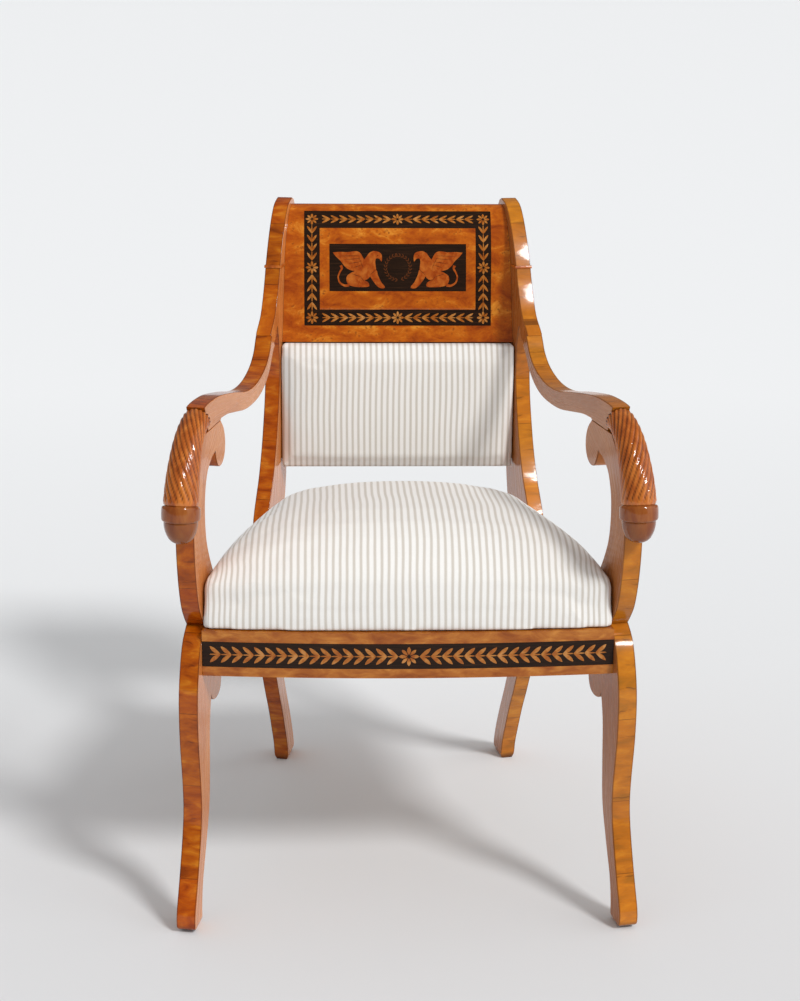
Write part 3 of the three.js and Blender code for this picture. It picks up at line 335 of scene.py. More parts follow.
def board_pattern(bm, line, hand, seed):
    """Lays the wood's pattern along a board: metres along its middle line, then across it. The seed and the
    hand pick the part of the pattern, so that no two boards are alike."""
    run = run_of(line)
    picked = (seed + hand * 0.9, seed)
    back = side_place(hand).inverted()
    layer = bm.loops.layers.uv.new("grain")
    width_layer = bm.loops.layers.uv.new("width")
    half = max(abs((back @ vert.co).x) for vert in bm.verts) / 2
    for face in bm.faces:
        for loop in face.loops:
            place = back @ loop.vert.co
            flat = Vector((place.y, place.z, 0))
            nearest = min(range(len(line)), key=lambda i: (line[i] - flat).length_squared)
            before, after = max(nearest - 1, 0), min(nearest + 1, len(line) - 1)
            heading = (line[after] - line[before]).normalized()
            off = flat - line[nearest]
            along = run[nearest] + off.dot(heading)
            across = off.cross(heading).z if face.material_index else place.x
            loop[layer].uv = (along + picked[0], across + picked[1])
            # 0 is the middle of a narrow face and 1 its arris; the broad faces stay 0
            # The second value is 1 on the right side and 0 on the left, and places the painted side light
            # and shade
            loop[width_layer].uv = (0 if face.material_index else place.x / half + 1, (1 + hand) / 2)


def wear_foot(bm, hand, rise=0.012, loss=0.27, roundness=2.2):
    """Rounds a foot's sides towards the floor, as dragging does: loss is the share gone at the floor."""
    for level in (0.25, 0.5, 0.75, 1):
        cut_across(bm, (0, 0, rise * level), (0, 0, 1))
    place = side_place(hand)
    back = place.inverted()
    for vert in bm.verts:
        if vert.co.z < rise:
            own = back @ vert.co
            own.x += (-board_thickness / 2 - own.x) * loss * (1 - vert.co.z / rise) ** roundness
            vert.co = place @ own


def side_board(kind, line, seed, ease=0.0011, broad=0.7):
    """Dresses the right and left boards of one kind: veneered edges, plain broad faces, eased arrises. line
    is the board's middle line in the side view, from the chair's front backwards and from the floor up."""
    close_line = smooth_line([(y, z, 0) for y, z in line], 8)
    for hand, side in ((1, "right"), (-1, "left")):
        node = f"{kind}_{side}"
        bm = solid_copy(node)
        outward = (side_place(hand).to_3x3() @ Vector((1, 0, 0))).normalized()
        for face in bm.faces:
            face.material_index = int(abs(face.normal.dot(outward)) > broad)
        ease_arrises(
            bm, ease, lambda edge: edge.link_faces[0].material_index != edge.link_faces[1].material_index
        )
        wear_foot(bm, hand)
        board_pattern(bm, close_line, hand, seed)
        make_piece(bm, f"{node}_board", [cross_veneer, board_birch], [node])


side_board(
    "front_leg",
    [(-0.040, 0), (-0.044, 0.026), (-0.034, 0.062), (-0.015, 0.101), (0.002, 0.15), (0.0055, 0.204),
     (0.006, 0.26), (0.013, 0.315), (0.03, 0.365), (0.06, 0.404)],
    seed=1.3,
)
side_board(
    "arm_support",
    [(0.058, 0.404), (0.044, 0.434), (0.017, 0.499), (0.0105, 0.53), (0.011, 0.565), (0.023, 0.605),
     (0.06, 0.64), (0.1, 0.66)],
    seed=2.1,
)
side_board(
    "arm",
    [(0.02, 0.672), (0.09, 0.673), (0.172, 0.668), (0.218, 0.66), (0.268, 0.651), (0.313, 0.6485),
     (0.354, 0.651), (0.395, 0.66), (0.422, 0.676), (0.445, 0.701), (0.462, 0.725)],
    seed=3.7,
)
side_board(
    "back_stile",
    [(0.541, 0), (0.523, 0.061), (0.504, 0.101), (0.481, 0.145), (0.461, 0.202), (0.448, 0.275),
     (0.446, 0.339), (0.452, 0.388), (0.465, 0.43), (0.483, 0.468), (0.507, 0.532), (0.517, 0.58),
     (0.524, 0.64), (0.522, 0.7), (0.515, 0.735), (0.521, 0.757), (0.529, 0.783), (0.543, 0.824),
     (0.558, 0.853), (0.578, 0.873), (0.597, 0.88)],
    seed=4.4,
)
side_board("side_rail", [(0.1, 0.373), (0.44, 0.373)], seed=5.6, ease=0.0008)


# Hand rests: each is carved in the round from a birch block glued over the front of the arm support. A horn
# with seventeen twisted gadroons ends in a plain collar, and a smooth bud hangs under it.
def figured(tree, scale, stops, **noise):
    """Noise drawn out along the grain, in cycles to a metre, and the tones that it runs through."""
    place = add_node(tree, "TexCoord").outputs["Object"]
    drawn_out = add_node(tree, "Mapping", {"Vector": place, "Scale": scale})
    figure = add_node(tree, "TexNoise", {"Vector": drawn_out, "Scale": 1.0, **noise})
    return figure, add_node(tree, "ValToRGB", {"Fac": figure}, stops=stops)


# Carved birch: end grain takes more colour, so it is redder, and darker in the hollows, under a high gloss
carved_birch, tree, shader = new_finish(
    "french_polished_carved_birch", Coat_Weight=0.9, Coat_Roughness=0.07, Specular_IOR_Level=0.1,
    Roughness=0.3,
)
_, carved_tone = figured(
    tree, (90.0, 60.0, 22.0), [(0.3, "#994912"), (0.45, "#b35c1e"), (0.58, "#c46e29"), (0.74, "#d48236")],
    Detail=5.0, Roughness=0.6, Distortion=0.4,
)
carved_depth = add_node(tree, "Attribute", attribute_name="hollow")
carved_dark = add_node(
    tree, "Mix", {0: carved_depth.outputs["Fac"], 6: carved_tone, 7: linear("#4a1d08")}, data_type="RGBA"
)
join(carved_dark.outputs[2], shader.inputs["Base Color"])

horn_line = smooth_line(
    [(0.07718, 0.673, 0), (0.04134, 0.67014, 0), (0.00998, 0.65298, 0), (-0.01466, 0.62295, 0),
     (-0.02922, 0.5922, 0), (-0.03482, 0.56289, 0), (-0.03482, 0.53, 0)],
    24,
)
horn_run = run_of(horn_line)
horn_radius = 0.023
horn_inset = 0.0125               # from the side frame's outer face to the horn's middle
gadroons = 17
gadroon_points = 8
gadroon_depth = 0.0024
gadroon_twist = math.radians(225)
gadroon_fullness = 0.75           # below 1, the ridges are broad and the grooves between them narrow
quirk_width = 0.003
seam_lean = math.radians(25)      # the arm's end cuts the horn off at this slope
seam_place = Vector((0, 0.0567, 0.668))
collar_dark, bud_dark = 0.53, 0.64  # how much dark polish they have kept
# Girth along the horn, as shares of its length and radius: the fluted part, the collar, then the bud
horn_girth = [
    (0.0, 0.76), (0.1, 0.765), (0.2, 0.78), (0.3, 0.815), (0.4, 0.86), (0.5, 0.905), (0.6, 0.95),
    (0.68, 0.975), (0.73, 0.99), (0.745, 0.97), (0.754, 0.9), (0.757, 0.985), (0.762, 1.045), (0.772, 1.072),
    (0.8, 1.08), (0.83, 1.072), (0.84, 1.045), (0.845, 0.98), (0.848, 0.925), (0.856, 0.945), (0.875, 0.935),
    (0.9, 0.895), (0.925, 0.82), (0.95, 0.715), (0.968, 0.58), (0.98, 0.42), (0.988, 0.22),
]
fluted_share = 0.748
bud_share = 0.845


def share_of(pairs, place):
    """A value read between the pairs of a list."""
    for (low, low_value), (high, high_value) in zip(pairs, pairs[1:]):
        if place <= high:
            return low_value + (high_value - low_value) * (place - low) / (high - low)
    return pairs[-1][1]


def along_line(line, run, reach):
    """The point at that reach along a line, and the line's heading there."""
    index = max(1, next((i for i, far in enumerate(run) if far >= reach), len(run) - 1))
    start, end = line[index - 1], line[index]
    part = (reach - run[index - 1]) / (run[index] - run[index - 1])
    return start.lerp(end, part), (end - start).normalized()


fluted_steps = 44
horn_shares = [step * fluted_share / fluted_steps for step in range(fluted_steps + 1)]
horn_shares += [share for share, _ in horn_girth if share > fluted_share]
for hand, side in ((1, "right"), (-1, "left")):
    bm = bmesh.new()
    turn_layer = bm.verts.layers.float.new("turn")
    hollow_layer = bm.verts.layers.float.new("hollow")
    ring = bmesh.ops.create_circle(bm, segments=gadroons * gadroon_points, radius=1.0)["verts"]
    for vert in ring:
        vert[turn_layer] = math.atan2(vert.co.y, vert.co.x)
    edges = list({edge for vert in ring for edge in vert.link_edges})
    for number, share in enumerate(horn_shares):
        if number:
            grown = bmesh.ops.extrude_edge_only(bm, edges=edges)["geom"]
            ring = [item for item in grown if isinstance(item, bmesh.types.BMVert)]
            edges = [item for item in grown if isinstance(item, bmesh.types.BMEdge)]
        centre, heading = along_line(horn_line, horn_run, share * horn_run[-1])
        girth = share_of(horn_girth, share) * horn_radius
        # The gadroons rise out of the horn's end and sink into its foot
        fluted = min(1.0, share / 0.05) * max(0.0, min(1.0, (fluted_share - share) / 0.03))
        twist = gadroon_twist * min(share / fluted_share, 1.0)
        kept_dark = bud_dark if share > bud_share else collar_dark
        for vert in ring:
            turn = vert[turn_layer]
            wave = abs(math.sin((turn + twist) * gadroons / 2))
            hollow = (1 - wave**gadroon_fullness) * fluted
            radius = girth - gadroon_depth * hollow
            # Dark polish begins a quarter of the way down a groove and covers its bottom
            in_groove = min(1.0, max(0.0, hollow - 0.25) * 1.5)
            vert[hollow_layer] = kept_dark if share > fluted_share else in_groove
            vert.co = Vector((
                -horn_inset + math.cos(turn) * radius,
                centre.x + math.sin(turn) * radius * -heading.y,
                centre.y + math.sin(turn) * radius * heading.x,
            ))
    bmesh.ops.holes_fill(bm, edges=[edge for edge in bm.edges if edge.is_boundary], sides=0)
    seam_normal = Vector((0, math.cos(seam_lean), math.sin(seam_lean)))
    # A quirk is cut round the horn where the arm's end caps it, and holds dark polish
    for depth in (quirk_width, quirk_width / 2):
        cut_across(bm, seam_place - seam_normal * depth, seam_normal)
    for vert in bm.verts:
        if (vert.co - seam_place).dot(seam_normal) > -quirk_width * 0.75:
            vert[hollow_layer] = 1.0
    cut = cut_across(bm, seam_place, seam_normal, clear_outer=True)["geom_cut"]
    bmesh.ops.holes_fill(bm, edges=[item for item in cut if isinstance(item, bmesh.types.BMEdge)], sides=0)
    bmesh.ops.transform(bm, matrix=side_place(hand), verts=bm.verts)
    bmesh.ops.recalc_face_normals(bm, faces=bm.faces)
    node = f"hand_rest_{side}"
    make_piece(bm, f"{node}_carving", [carved_birch], [node], 55)

# Ring mouldings: a thin birch bead is planted round each stile, level with the upper half of the crest,
# glued and pinned, and polished with the stile.
bead_ease = 0.0007
for node in ("ring_moulding_right", "ring_moulding_left"):
    bm = solid_copy(node)
    ease_arrises(bm, bead_ease)
    make_piece(bm, f"{node}_bead", [carved_birch], [node])

# Seat rails: birch boards tenoned between the side frames. The front one is bowed and veneered with birch
# laid lengthwise, and the rear one is plain.
# Rail birch: French polished, a duller brown than the side frames, with fine streaks along the rail
rail_birch = polished_birch(
    "french_polished_rail_birch",
    ("#8a4410", "#a1581b", "#b26a26", "#c78136"),
    figure=(34.0, 60.0, 80.0),
    grain=(60.0, 300.0, 420.0),
)
for node in ("front_rail", "rear_rail"):
    make_piece(solid_copy(node), f"{node}_board", [rail_birch], [node], 30)

# The front rail's band: ebonised pearwood veneer let into the rail's face, with a laurel that grows both
# ways from a flower in the middle. The leaves are birch, sawn out and let into the band.
# Ebonised veneer: pear stained black and polished, warmer than paint, with fine scratches across the gloss
ebonised, tree, shader = new_finish(
    "ebonised_pear_veneer", Coat_Weight=0.25, Coat_Roughness=0.15, Specular_IOR_Level=0.05, Roughness=0.4
)
_, ebonised_tone = figured(
    tree, (30.0, 400.0, 700.0), [(0.35, "#1e1209"), (0.6, "#2a190e"), (0.78, "#3f2817")], Detail=4.0
)
join(ebonised_tone, shader.inputs["Base Color"])
band_solid = solid_copy("front_rail_band")
make_piece(band_solid, "front_rail_band_veneer", [ebonised], ["front_rail_band"], 30)

# Inlaid birch: small pieces of veneer under the same polish, each with its own tone
inlay_figure = {"figure": (90.0, 90.0, 90.0), "grain": (300.0, 300.0, 120.0)}
inlay_tones = ("#904911", "#a65e1b", "#b67532", "#c4894e")
inlay_birch = polished_birch("french_polished_inlaid_birch", inlay_tones, **inlay_figure)
inlay_proud = 0.00015             # how far its face lies above its ground
inlay_deep = 0.0004


def leaf(bm, base, angle, length, width, bend=0.0, points=16, belly=1.2, sharpness=0.7):
    """A pointed leaf in the pattern's plane, from its stalk's end, with its tip at that angle. A higher
    belly puts its widest part nearer the tip, and less sharpness makes its ends rounder."""
    verts = bmesh.ops.create_circle(bm, cap_ends=True, segments=points, radius=1.0)["verts"]
    turn = Matrix.Rotation(angle, 2)
    for vert in verts:
        share = (1 + vert.co.x) / 2
        swell = math.sin(math.pi * share**belly) ** sharpness if 0 < share < 1 else 0.0
        across = math.copysign(width / 2 * swell, vert.co.y) if abs(vert.co.y) > 1e-6 else 0.0
        across += bend * share**2
        flat = turn @ Vector((share * length, across))
        vert.co = (base[0] + flat.x, base[1] + flat.y, 0)


def flower(bm, centre, radius, petals=8, eye=0.16, widths=(0.391, 0.34)):
    """A flower of pointed petals, wide and narrow in turn, round a small open eye."""
    for petal in range(petals):
        angle = petal * 2 * math.pi / petals
        start = Vector(centre) + Vector((math.cos(angle), math.sin(angle))) * radius * eye
        leaf(bm, start, angle, radius * (1 - eye), radius * widths[petal % 2], points=12)


def laurel(bm, start, angle, count, pitch, length, width, spread, bend, stem):
    """A laurel stem that grows from a point at that angle, with its leaves in pairs. The stem's own pieces
    are leaves too, long enough to reach into each other."""
    heading = Vector((math.cos(angle), math.sin(angle)))
    for number in range(count):
        base = Vector(start) + heading * (number * pitch)
        for way in (1, -1):
            leaf(bm, base, angle + way * spread, length, width, way * bend)
        leaf(bm, base - heading * pitch * 0.1, angle, pitch * 1.15, stem, points=8)


def lay_inlay(bm, ground, name, materials, proud=inlay_proud):
    """Gives a flat pattern its thickness and lays it on the ground's face."""
    bmesh.ops.recalc_face_normals(bm, faces=bm.faces)
    for face in bm.faces:
        if face.normal.z < 0:
            face.normal_flip()
    grown = bmesh.ops.extrude_face_region(bm, geom=bm.faces[:], use_keep_orig=True)["geom"]
    sunk = {item for item in grown if isinstance(item, bmesh.types.BMVert)}
    for vert in bm.verts:
        vert.co = ground(vert.co.x, vert.co.y, proud if vert in sunk else -inlay_deep)
    bmesh.ops.recalc_face_normals(bm, faces=bm.faces)
    make_piece(bm, name, materials, smooth_angle=30)


band_middle = 0.372


def on_band(x, up, proud):
    """A point on the bowed front rail's face."""
    return Vector((x, front_face - rail_bow * (1 - (x / half_front) ** 2) - proud, band_middle + up))


bm = bmesh.new()
for angle, start in ((0.0, (0.014, 0)), (math.pi, (-0.014, 0))):
    laurel(
        bm, start, angle, count=17, pitch=0.0144, length=0.0178, width=0.0054, spread=math.radians(28),
        bend=0.003, stem=0.0022,
    )
flower(bm, (0, 0), radius=0.013)
lay_inlay(bm, on_band, "front_rail_laurel", [inlay_birch])

# The crest: a thick birch board cut hollow in front and rolled over backwards at its top, veneered with burr
# birch whose eyes and swirls show as dark and golden clouds.
burr_birch, tree, shader = new_finish(
    "french_polished_burr_birch", Coat_Weight=0.7, Coat_Roughness=0.06, Specular_IOR_Level=0.1
)
burr_cloud, burr_tone = figured(
    tree, (26.0, 40.0, 44.0), [(0.3, "#7f3203"), (0.42, "#a54903"), (0.55, "#bd5f08"), (0.7, "#dd8d2b")],
    Detail=7.0, Roughness=0.66, Distortion=0.5,
)
# The burr's eyes: soft dark dots up to 4 mm across, in the lighter clouds alone
burr_place = add_node(tree, "TexCoord").outputs["Object"]
burr_warp = add_node(
    tree,
    "VectorMath",
    {0: burr_cloud.outputs["Color"], 1: (0.02, 0.02, 0.02), 2: burr_place},
    operation="MULTIPLY_ADD",
)
burr_eye = add_node(tree, "TexVoronoi", {"Vector": burr_warp, "Scale": 150.0})
burr_spot = add_node(
    tree, "MapRange", {"Value": burr_eye, "From Min": 0.08, "From Max": 0.34, "To Min": 0.7, "To Max": 0.0}
)
burr_some = add_node(tree, "MapRange", {"Value": burr_cloud, "From Min": 0.44, "From Max": 0.58})
burr_shown = add_node(tree, "Math", {0: burr_spot, 1: burr_some}, operation="MULTIPLY")
burr_eyed = add_node(tree, "Mix", {0: burr_shown, 6: burr_tone, 7: linear("#6a2c08")}, data_type="RGBA")
join(burr_eyed.outputs[2], shader.inputs["Base Color"])
burr_gloss = add_node(tree, "MapRange", {"Value": burr_cloud, "To Min": 0.2, "To Max": 0.32})
join(burr_gloss, shader.inputs["Roughness"])
burr_ripple = add_node(tree, "Bump", {"Height": burr_cloud, "Strength": 0.3, "Distance": 0.0008})
join(burr_ripple, shader.inputs["Normal"])
join(burr_ripple, shader.inputs["Coat Normal"])
make_piece(solid_copy("crest_board"), "crest_rolled_board", [burr_birch], ["crest_board"], 35)
for node in ("crest_border_veneer", "crest_tablet_veneer"):
    make_piece(solid_copy(node), f"{node}_let_in", [ebonised], [node], 35)

# The crest's inlay: laurels run from flowers in the middle of each side of the border to flowers at its
# corners, and two seated winged griffins face a faint wreath on the tablet. All is birch, sawn out and let
# into the ebonised veneer.
# The crest's hollow face: how far it lies behind the chair's front, and its height
crest_hollow = [
    (0.5011, 0.6879), (0.5078, 0.7095), (0.5149, 0.7484), (0.5212, 0.7935), (0.5301, 0.8284),
    (0.5448, 0.8601), (0.5626, 0.8806), (0.576, 0.887),
]
crest_face = smooth_line([(front_face + behind, height, 0) for behind, height in crest_hollow], 16)
crest_run = run_of(crest_face)
# How far up the face each height lies
crest_reach = [(point.y, run) for point, run in zip(crest_face, crest_run)]


def on_crest(x, reach, proud):
    """A point on the crest's hollow face, at that reach up the face."""
    spot, heading = along_line(crest_face, crest_run, reach)
    return Vector((x, spot.x - heading.y * proud, spot.y + heading.x * proud))


# Rows up the crest, as shares of its rise above the arms: the border's edges, then the tablet's
arm_height = 0.691
head_rise = 0.205
border_low, window_low, window_high, border_high, tablet_low, tablet_high = (
    share_of(crest_reach, arm_height + head_rise * share)
    for share in (0.102, 0.215, 0.8, 0.912, 0.351, 0.688)
)
border_side = 0.1295
low_row = (border_low + window_low) / 2
high_row = (window_high + border_high) / 2
middle_row = (low_row + high_row) / 2
tablet_row = (tablet_low + tablet_high) / 2
flower_radius = 0.0096
side_pairs = 4
side_pitch = (high_row - middle_row - 0.0205) / side_pairs
crest_leaves = {"bend": 0.0016, "stem": 0.0018}
bm = bmesh.new()
for row in (low_row, high_row):
    for way in (1, -1):
        laurel(
            bm, (way * 0.0095, row), 0 if way > 0 else math.pi, count=8, pitch=0.0131, length=0.0148,
            width=0.0034, spread=math.radians(20), **crest_leaves,
        )
    for x in (-border_side, 0, border_side):
        flower(bm, (x, row), flower_radius)
for x in (-border_side, border_side):
    flower(bm, (x, middle_row), flower_radius)
    for way in (1, -1):
        laurel(
            bm, (x, middle_row + way * 0.0105), way * math.pi / 2, count=side_pairs, pitch=side_pitch,
            length=0.0138, width=0.0036, spread=math.radians(25), **crest_leaves,
        )
lay_inlay(bm, on_crest, "crest_laurel", [inlay_birch])

# Stained birch: the griffins were stained before they were let in, so they are redder than the laurels
stained_tones = ("#8c3604", "#a14509", "#b15818", "#be6823")
stained_birch = polished_birch("french_polished_stained_birch", stained_tones, **inlay_figure)
# The griffin that faces right, in millimetres from the tablet's middle: along it, then up it
griffin_parts = {
    "body": [
        (-50.5, 12.5), (-47, 16.5), (-43.5, 21.5), (-38, 24.5), (-33, 24.5), (-27, 22.5), (-24, 17.5),
        (-24.5, 9), (-28, 13), (-32.5, 13.5), (-34, 9.5), (-33.5, 3), (-33, -4), (-36, -9), (-41.5, -13),
        (-45, -17), (-51, -19), (-59.5, -18.5), (-67.5, -14.5), (-69.5, -8), (-64, -5), (-58.5, -1),
        (-54.5, 5.5),
    ],
    "haunch": [
        (-69, -7), (-61, -8.5), (-53.5, -13.5), (-50, -19), (-45, -22), (-43, -26.5), (-45, -29),
        (-56.5, -29.5), (-67.5, -28.5), (-74, -26), (-77.5, -20), (-76.5, -12.5),
    ],
    "foreleg": [
        (-43, -11.5), (-33, -3.5), (-30, -11.5), (-25, -22), (-20, -28), (-20.5, -31), (-26.5, -31),
        (-32.5, -26.5), (-38, -19.5),
    ],
    "wing": [
        (-98, 22.5), (-87.5, 23.5), (-76, 23), (-64.5, 24.5), (-58, 23), (-54.5, 18.5), (-51, 12),
        (-48.5, 5.5), (-52, -1), (-59, -5), (-67.5, -5), (-75, -2.5), (-81, 2.5), (-86.5, 10), (-93.5, 16.5),
    ],
}
griffin_tail = [
    (-73.5, -26.5), (-80.5, -27), (-87.5, -22.5), (-90, -14.5), (-87.5, -7), (-84.5, -1.5), (-86, 3),
]
tail_half, tail_waist = 2.2, 1.1  # half its width at the ends, and how much less half way
# The graver's lines: feathers, the wing's root, haunch, thigh and leg, each a start, an angle and a length
graver_lines = [
    (-90, 17, 0.02, 34), (-83, 11.5, 0.08, 28), (-76, 5.5, 0.16, 22), (-68, -0.5, 0.3, 14),
    (-59.5, 16, -1.15, 19), (-70, -9.5, -0.3, 14), (-57, -13, -0.9, 10), (-42, -11.5, 0.75, 12),
]
griffin_eye = (-31, 18)
graver_width = 0.0006
millimetre = 0.001
part_step = 0.00003               # each part lies a hair's breadth above the last where they overlap
slice_pitch = 0.003


def on_tablet(spot, hand):
    """A point of a griffin's drawing, in the crest's own measure."""
    return (spot[0] * millimetre * hand, tablet_row + spot[1] * millimetre, 0)


def lay_griffin_part(rim, name, proud):
    """Lays one part of a griffin, cut across every 3 mm so that it can bend with the crest's face."""
    bm = bmesh.new()
    bm.faces.new([bm.verts.new(point) for point in rim])
    bmesh.ops.triangulate(bm, faces=bm.faces)
    for level in range(-12, 13):
        cut_across(bm, (0, tablet_row + level * slice_pitch, 0), (0, 1, 0))
    lay_inlay(bm, on_crest, f"crest_griffin_{name}", [stained_birch], proud)


for hand, side in ((1, "left"), (-1, "right")):
    for number, (name, part) in enumerate(griffin_parts.items()):
        rim = smooth_line([on_tablet(spot, hand) for spot in [*part, part[0]]], 3)[:-1]
        lay_griffin_part(rim, f"{name}_{side}", inlay_proud + number * part_step)
    line = smooth_line([on_tablet(spot, hand) for spot in griffin_tail], 5)
    rims = [[], []]
    for number, spot in enumerate(line):
        heading = (line[min(number + 1, len(line) - 1)] - line[max(number - 1, 0)]).normalized()
        half = (tail_half - tail_waist * math.sin(math.pi * number / len(line))) * millimetre
        for rim, way in zip(rims, (half, -half)):
            rim.append((spot.x - heading.y * way, spot.y + heading.x * way, 0))
    lay_griffin_part([*rims[0], *reversed(rims[1])], f"tail_{side}", inlay_proud)
    # The graver's lines and the eye are filled with black
    bm = bmesh.new()
    for x, z, angle, length in graver_lines:
        direction = angle if hand > 0 else math.pi - angle
        leaf(bm, on_tablet((x, z), hand), direction, length * millimetre, graver_width, points=8)
    leaf(bm, on_tablet(griffin_eye, hand), 0, 0.0014, 0.0012, points=8)
    lay_inlay(bm, on_crest, f"crest_griffin_lines_{side}", [ebonised], proud=0.0003)

# The wreath between them is stained nearly as dark as its ground, so that it shows only faintly
wreath_birch, tree, shader = new_finish(
    "stained_birch_wreath", Roughness=0.4, Specular_IOR_Level=0.05, Coat_Weight=0.25
)
shader.inputs["Base Color"].default_value = linear("#5c3015")
bm = bmesh.new()
wreath_radius = 0.0185
wreath_leaves = 24
wreath_spread = 0.55
for number in range(wreath_leaves):
    angle = number * 2 * math.pi / wreath_leaves
    growth = angle + (math.pi / 2 if math.cos(angle) > 0 else -math.pi / 2)
    base = (math.cos(angle) * wreath_radius, tablet_row + math.sin(angle) * wreath_radius)
    for way in (wreath_spread, -wreath_spread):
        leaf(bm, base, growth + way, length=0.0052, width=0.0017, points=8)
lay_inlay(bm, on_crest, "crest_wreath", [wreath_birch])

# Back panel: webbing and hair tacked over a light pine frame between the stiles, stuffed to a low crown and
# covered with ticking, with a second cover behind.
# Ticking: a close white cotton twill with a taupe stripe woven into it every 8.75 mm, worn soft and matt
ticking, tree, shader = new_finish(
    "woven_striped_cotton_ticking", Roughness=0.9, Sheen_Weight=0.15, Sheen_Roughness=0.5
)
stripe_pitch = 0.00875
cloth_place = add_node(tree, "TexCoord")
cloth_across = add_node(tree, "SeparateXYZ", {"Vector": cloth_place.outputs["UV"]})
cloth_drift = add_node(
    tree, "TexNoise", {"Vector": cloth_place.outputs["Object"], "Scale": 9.0, "Detail": 1.0}
)
stripe_wander = add_node(
    tree,
    "Math",
    {0: cloth_drift, 1: stripe_pitch * 0.5, 2: cloth_across.outputs["X"]},
    operation="MULTIPLY_ADD",
)
stripe_count = add_node(tree, "Math", {0: stripe_wander, 1: stripe_pitch}, operation="DIVIDE")
stripe_share = add_node(tree, "Math", {0: stripe_count}, operation="FRACT")
stripe_stops = [(0.2, "#f3f1ed"), (0.36, "#d1cac0"), (0.6, "#d1cac0"), (0.76, "#f3f1ed")]
stripe_tone = add_node(tree, "ValToRGB", {"Fac": stripe_share}, stops=stripe_stops)
# The threads lie half a millimetre apart, and are drawn at about 1 mm so that they show
thread = add_node(tree, "TexNoise", {"Vector": cloth_place.outputs["Object"], "Scale": 900.0})
thread_tone = add_node(tree, "MapRange", {"Value": thread, "To Min": 0.93, "To Max": 1.05})
ticking_colour = add_node(tree, "HueSaturation", {"Color": stripe_tone, "Value": thread_tone})
join(ticking_colour, shader.inputs["Base Color"])
thread_bump = add_node(tree, "Bump", {"Height": thread, "Strength": 0.35, "Distance": 0.0003})
join(thread_bump, shader.inputs["Normal"])

soft_frames = 20
soft_pressure = 4.0
hair_rounds = 6                   # how far the hair under the cover evens its puckers out


def stuff(node, name, grid, held, drape, reach, body, pull_in):
    """A stuffed piece: the CAD form as a net of this grid, drawn in a little, then filled until its cover is
    tight. held tells which points are tacked down, drape is how the cover is pulled first, and reach is how
    far a point may then move."""
    piece = add_object(name, mesh_of(solid_copy(node), name))
    net = piece.modifiers.new("net", "REMESH")
    net.mode = "VOXEL"
    net.voxel_size = grid
    piece.modifiers.new("even", "SMOOTH").iterations = 1
    shaped = piece.evaluated_get(bpy.context.evaluated_depsgraph_get())
    netted = bpy.data.meshes.new_from_object(shaped)
    piece.modifiers.clear()
    piece.data = netted
    netted.name = name
    tacks = piece.vertex_groups.new(name="tacks")
    starts = []
    for vert in netted.vertices:
        tacked = held(vert.co)
        tacks.add([vert.index], 1.0 if tacked else 0.0, "REPLACE")
        vert.co = drape(vert.co)
        if not tacked:
            vert.co -= vert.normal * pull_in
        starts.append(vert.co.copy())
    cloth = piece.modifiers.new("cover", "CLOTH")
    cloth.settings.quality = 4
    cloth.settings.use_pressure = True
    cloth.settings.uniform_pressure_force = soft_pressure
    cloth.settings.effector_weights.gravity = 0
    cloth.settings.vertex_group_mass = "tacks"
    cloth.point_cache.frame_start = 1
    cloth.point_cache.frame_end = soft_frames
    scene = bpy.context.scene
    for number in range(1, soft_frames + 1):
        scene.frame_set(number)
    filled = piece.evaluated_get(bpy.context.evaluated_depsgraph_get())
    moves = [vert.co - start for vert, start in zip(filled.data.vertices, starts)]
    piece.modifiers.clear()
    for _ in range(hair_rounds):
        sums, counts = [move.copy() for move in moves], [1] * len(moves)
        for one, other in (edge.vertices for edge in netted.edges):
            sums[one] += moves[other]
            sums[other] += moves[one]
            counts[one] += 1
            counts[other] += 1
        moves = [total / count for total, count in zip(sums, counts)]
    for vert, start, move in zip(netted.vertices, starts, moves):
        vert.co = start + move * min(1.0, reach / max(move.length, 1e-9))
    scene.frame_set(1)
    piece.vertex_groups.clear()
    netted.materials.clear()
    netted.materials.append(ticking)
    netted.shade_smooth()
    finer = piece.modifiers.new("finer", "SUBSURF")
    finer.levels = finer.render_levels = 1
    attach(piece, body)
    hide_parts(node)
    return piece


def lay_cloth(piece, place):
    """Lays the cloth's stripes on a piece. place gives how far across the cloth a point lies, and how far
    up it."""
    layer = piece.data.uv_layers.new(name="cloth")
    for loop in piece.data.loops:
        layer.data[loop.index].uv = place(piece.data.vertices[loop.vertex_index].co)


pad_low, pad_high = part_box("back_pad")
pad_tacked = 0.006                # the cover is tacked over this much of the pad's depth, at its back
pad_full, pad_hang = 0.007, 0.004  # how far its lower edge is stuffed forward, and how far it hangs
pad_edge_height = 0.05            # that edge's part of the pad's height
pad_free_depth = 0.012            # the cover is free from this far in front of the pad's back


def pad_drape(spot):
    """The pad widens forward with the stiles beside it, and its lower edge hangs and is stuffed full."""
    ahead = pad_high.y - spot.y
    near_edge = max(0.0, 1 - (spot.z - pad_low.z) / pad_edge_height)
    loose = min(1.0, ahead / pad_free_depth)
    return Vector((
        spot.x * (1 + ahead * math.tan(side_taper) / pad_high.x),
        spot.y - pad_full * near_edge**3 * loose,
        spot.z - pad_hang * near_edge * loose,
    ))


pad = stuff(
    "back_pad", "back_pad_ticking", grid=0.004, held=lambda spot: spot.y > pad_high.y - pad_tacked,
    drape=pad_drape, reach=0.0015, body="chair_frame", pull_in=0.0005,
)
cover = make_piece(solid_copy("back_cover"), "back_cover_ticking", [ticking], ["back_cover"], 30)
for piece in (pad, cover):
    lay_cloth(piece, lambda spot: (spot.x, spot.z))

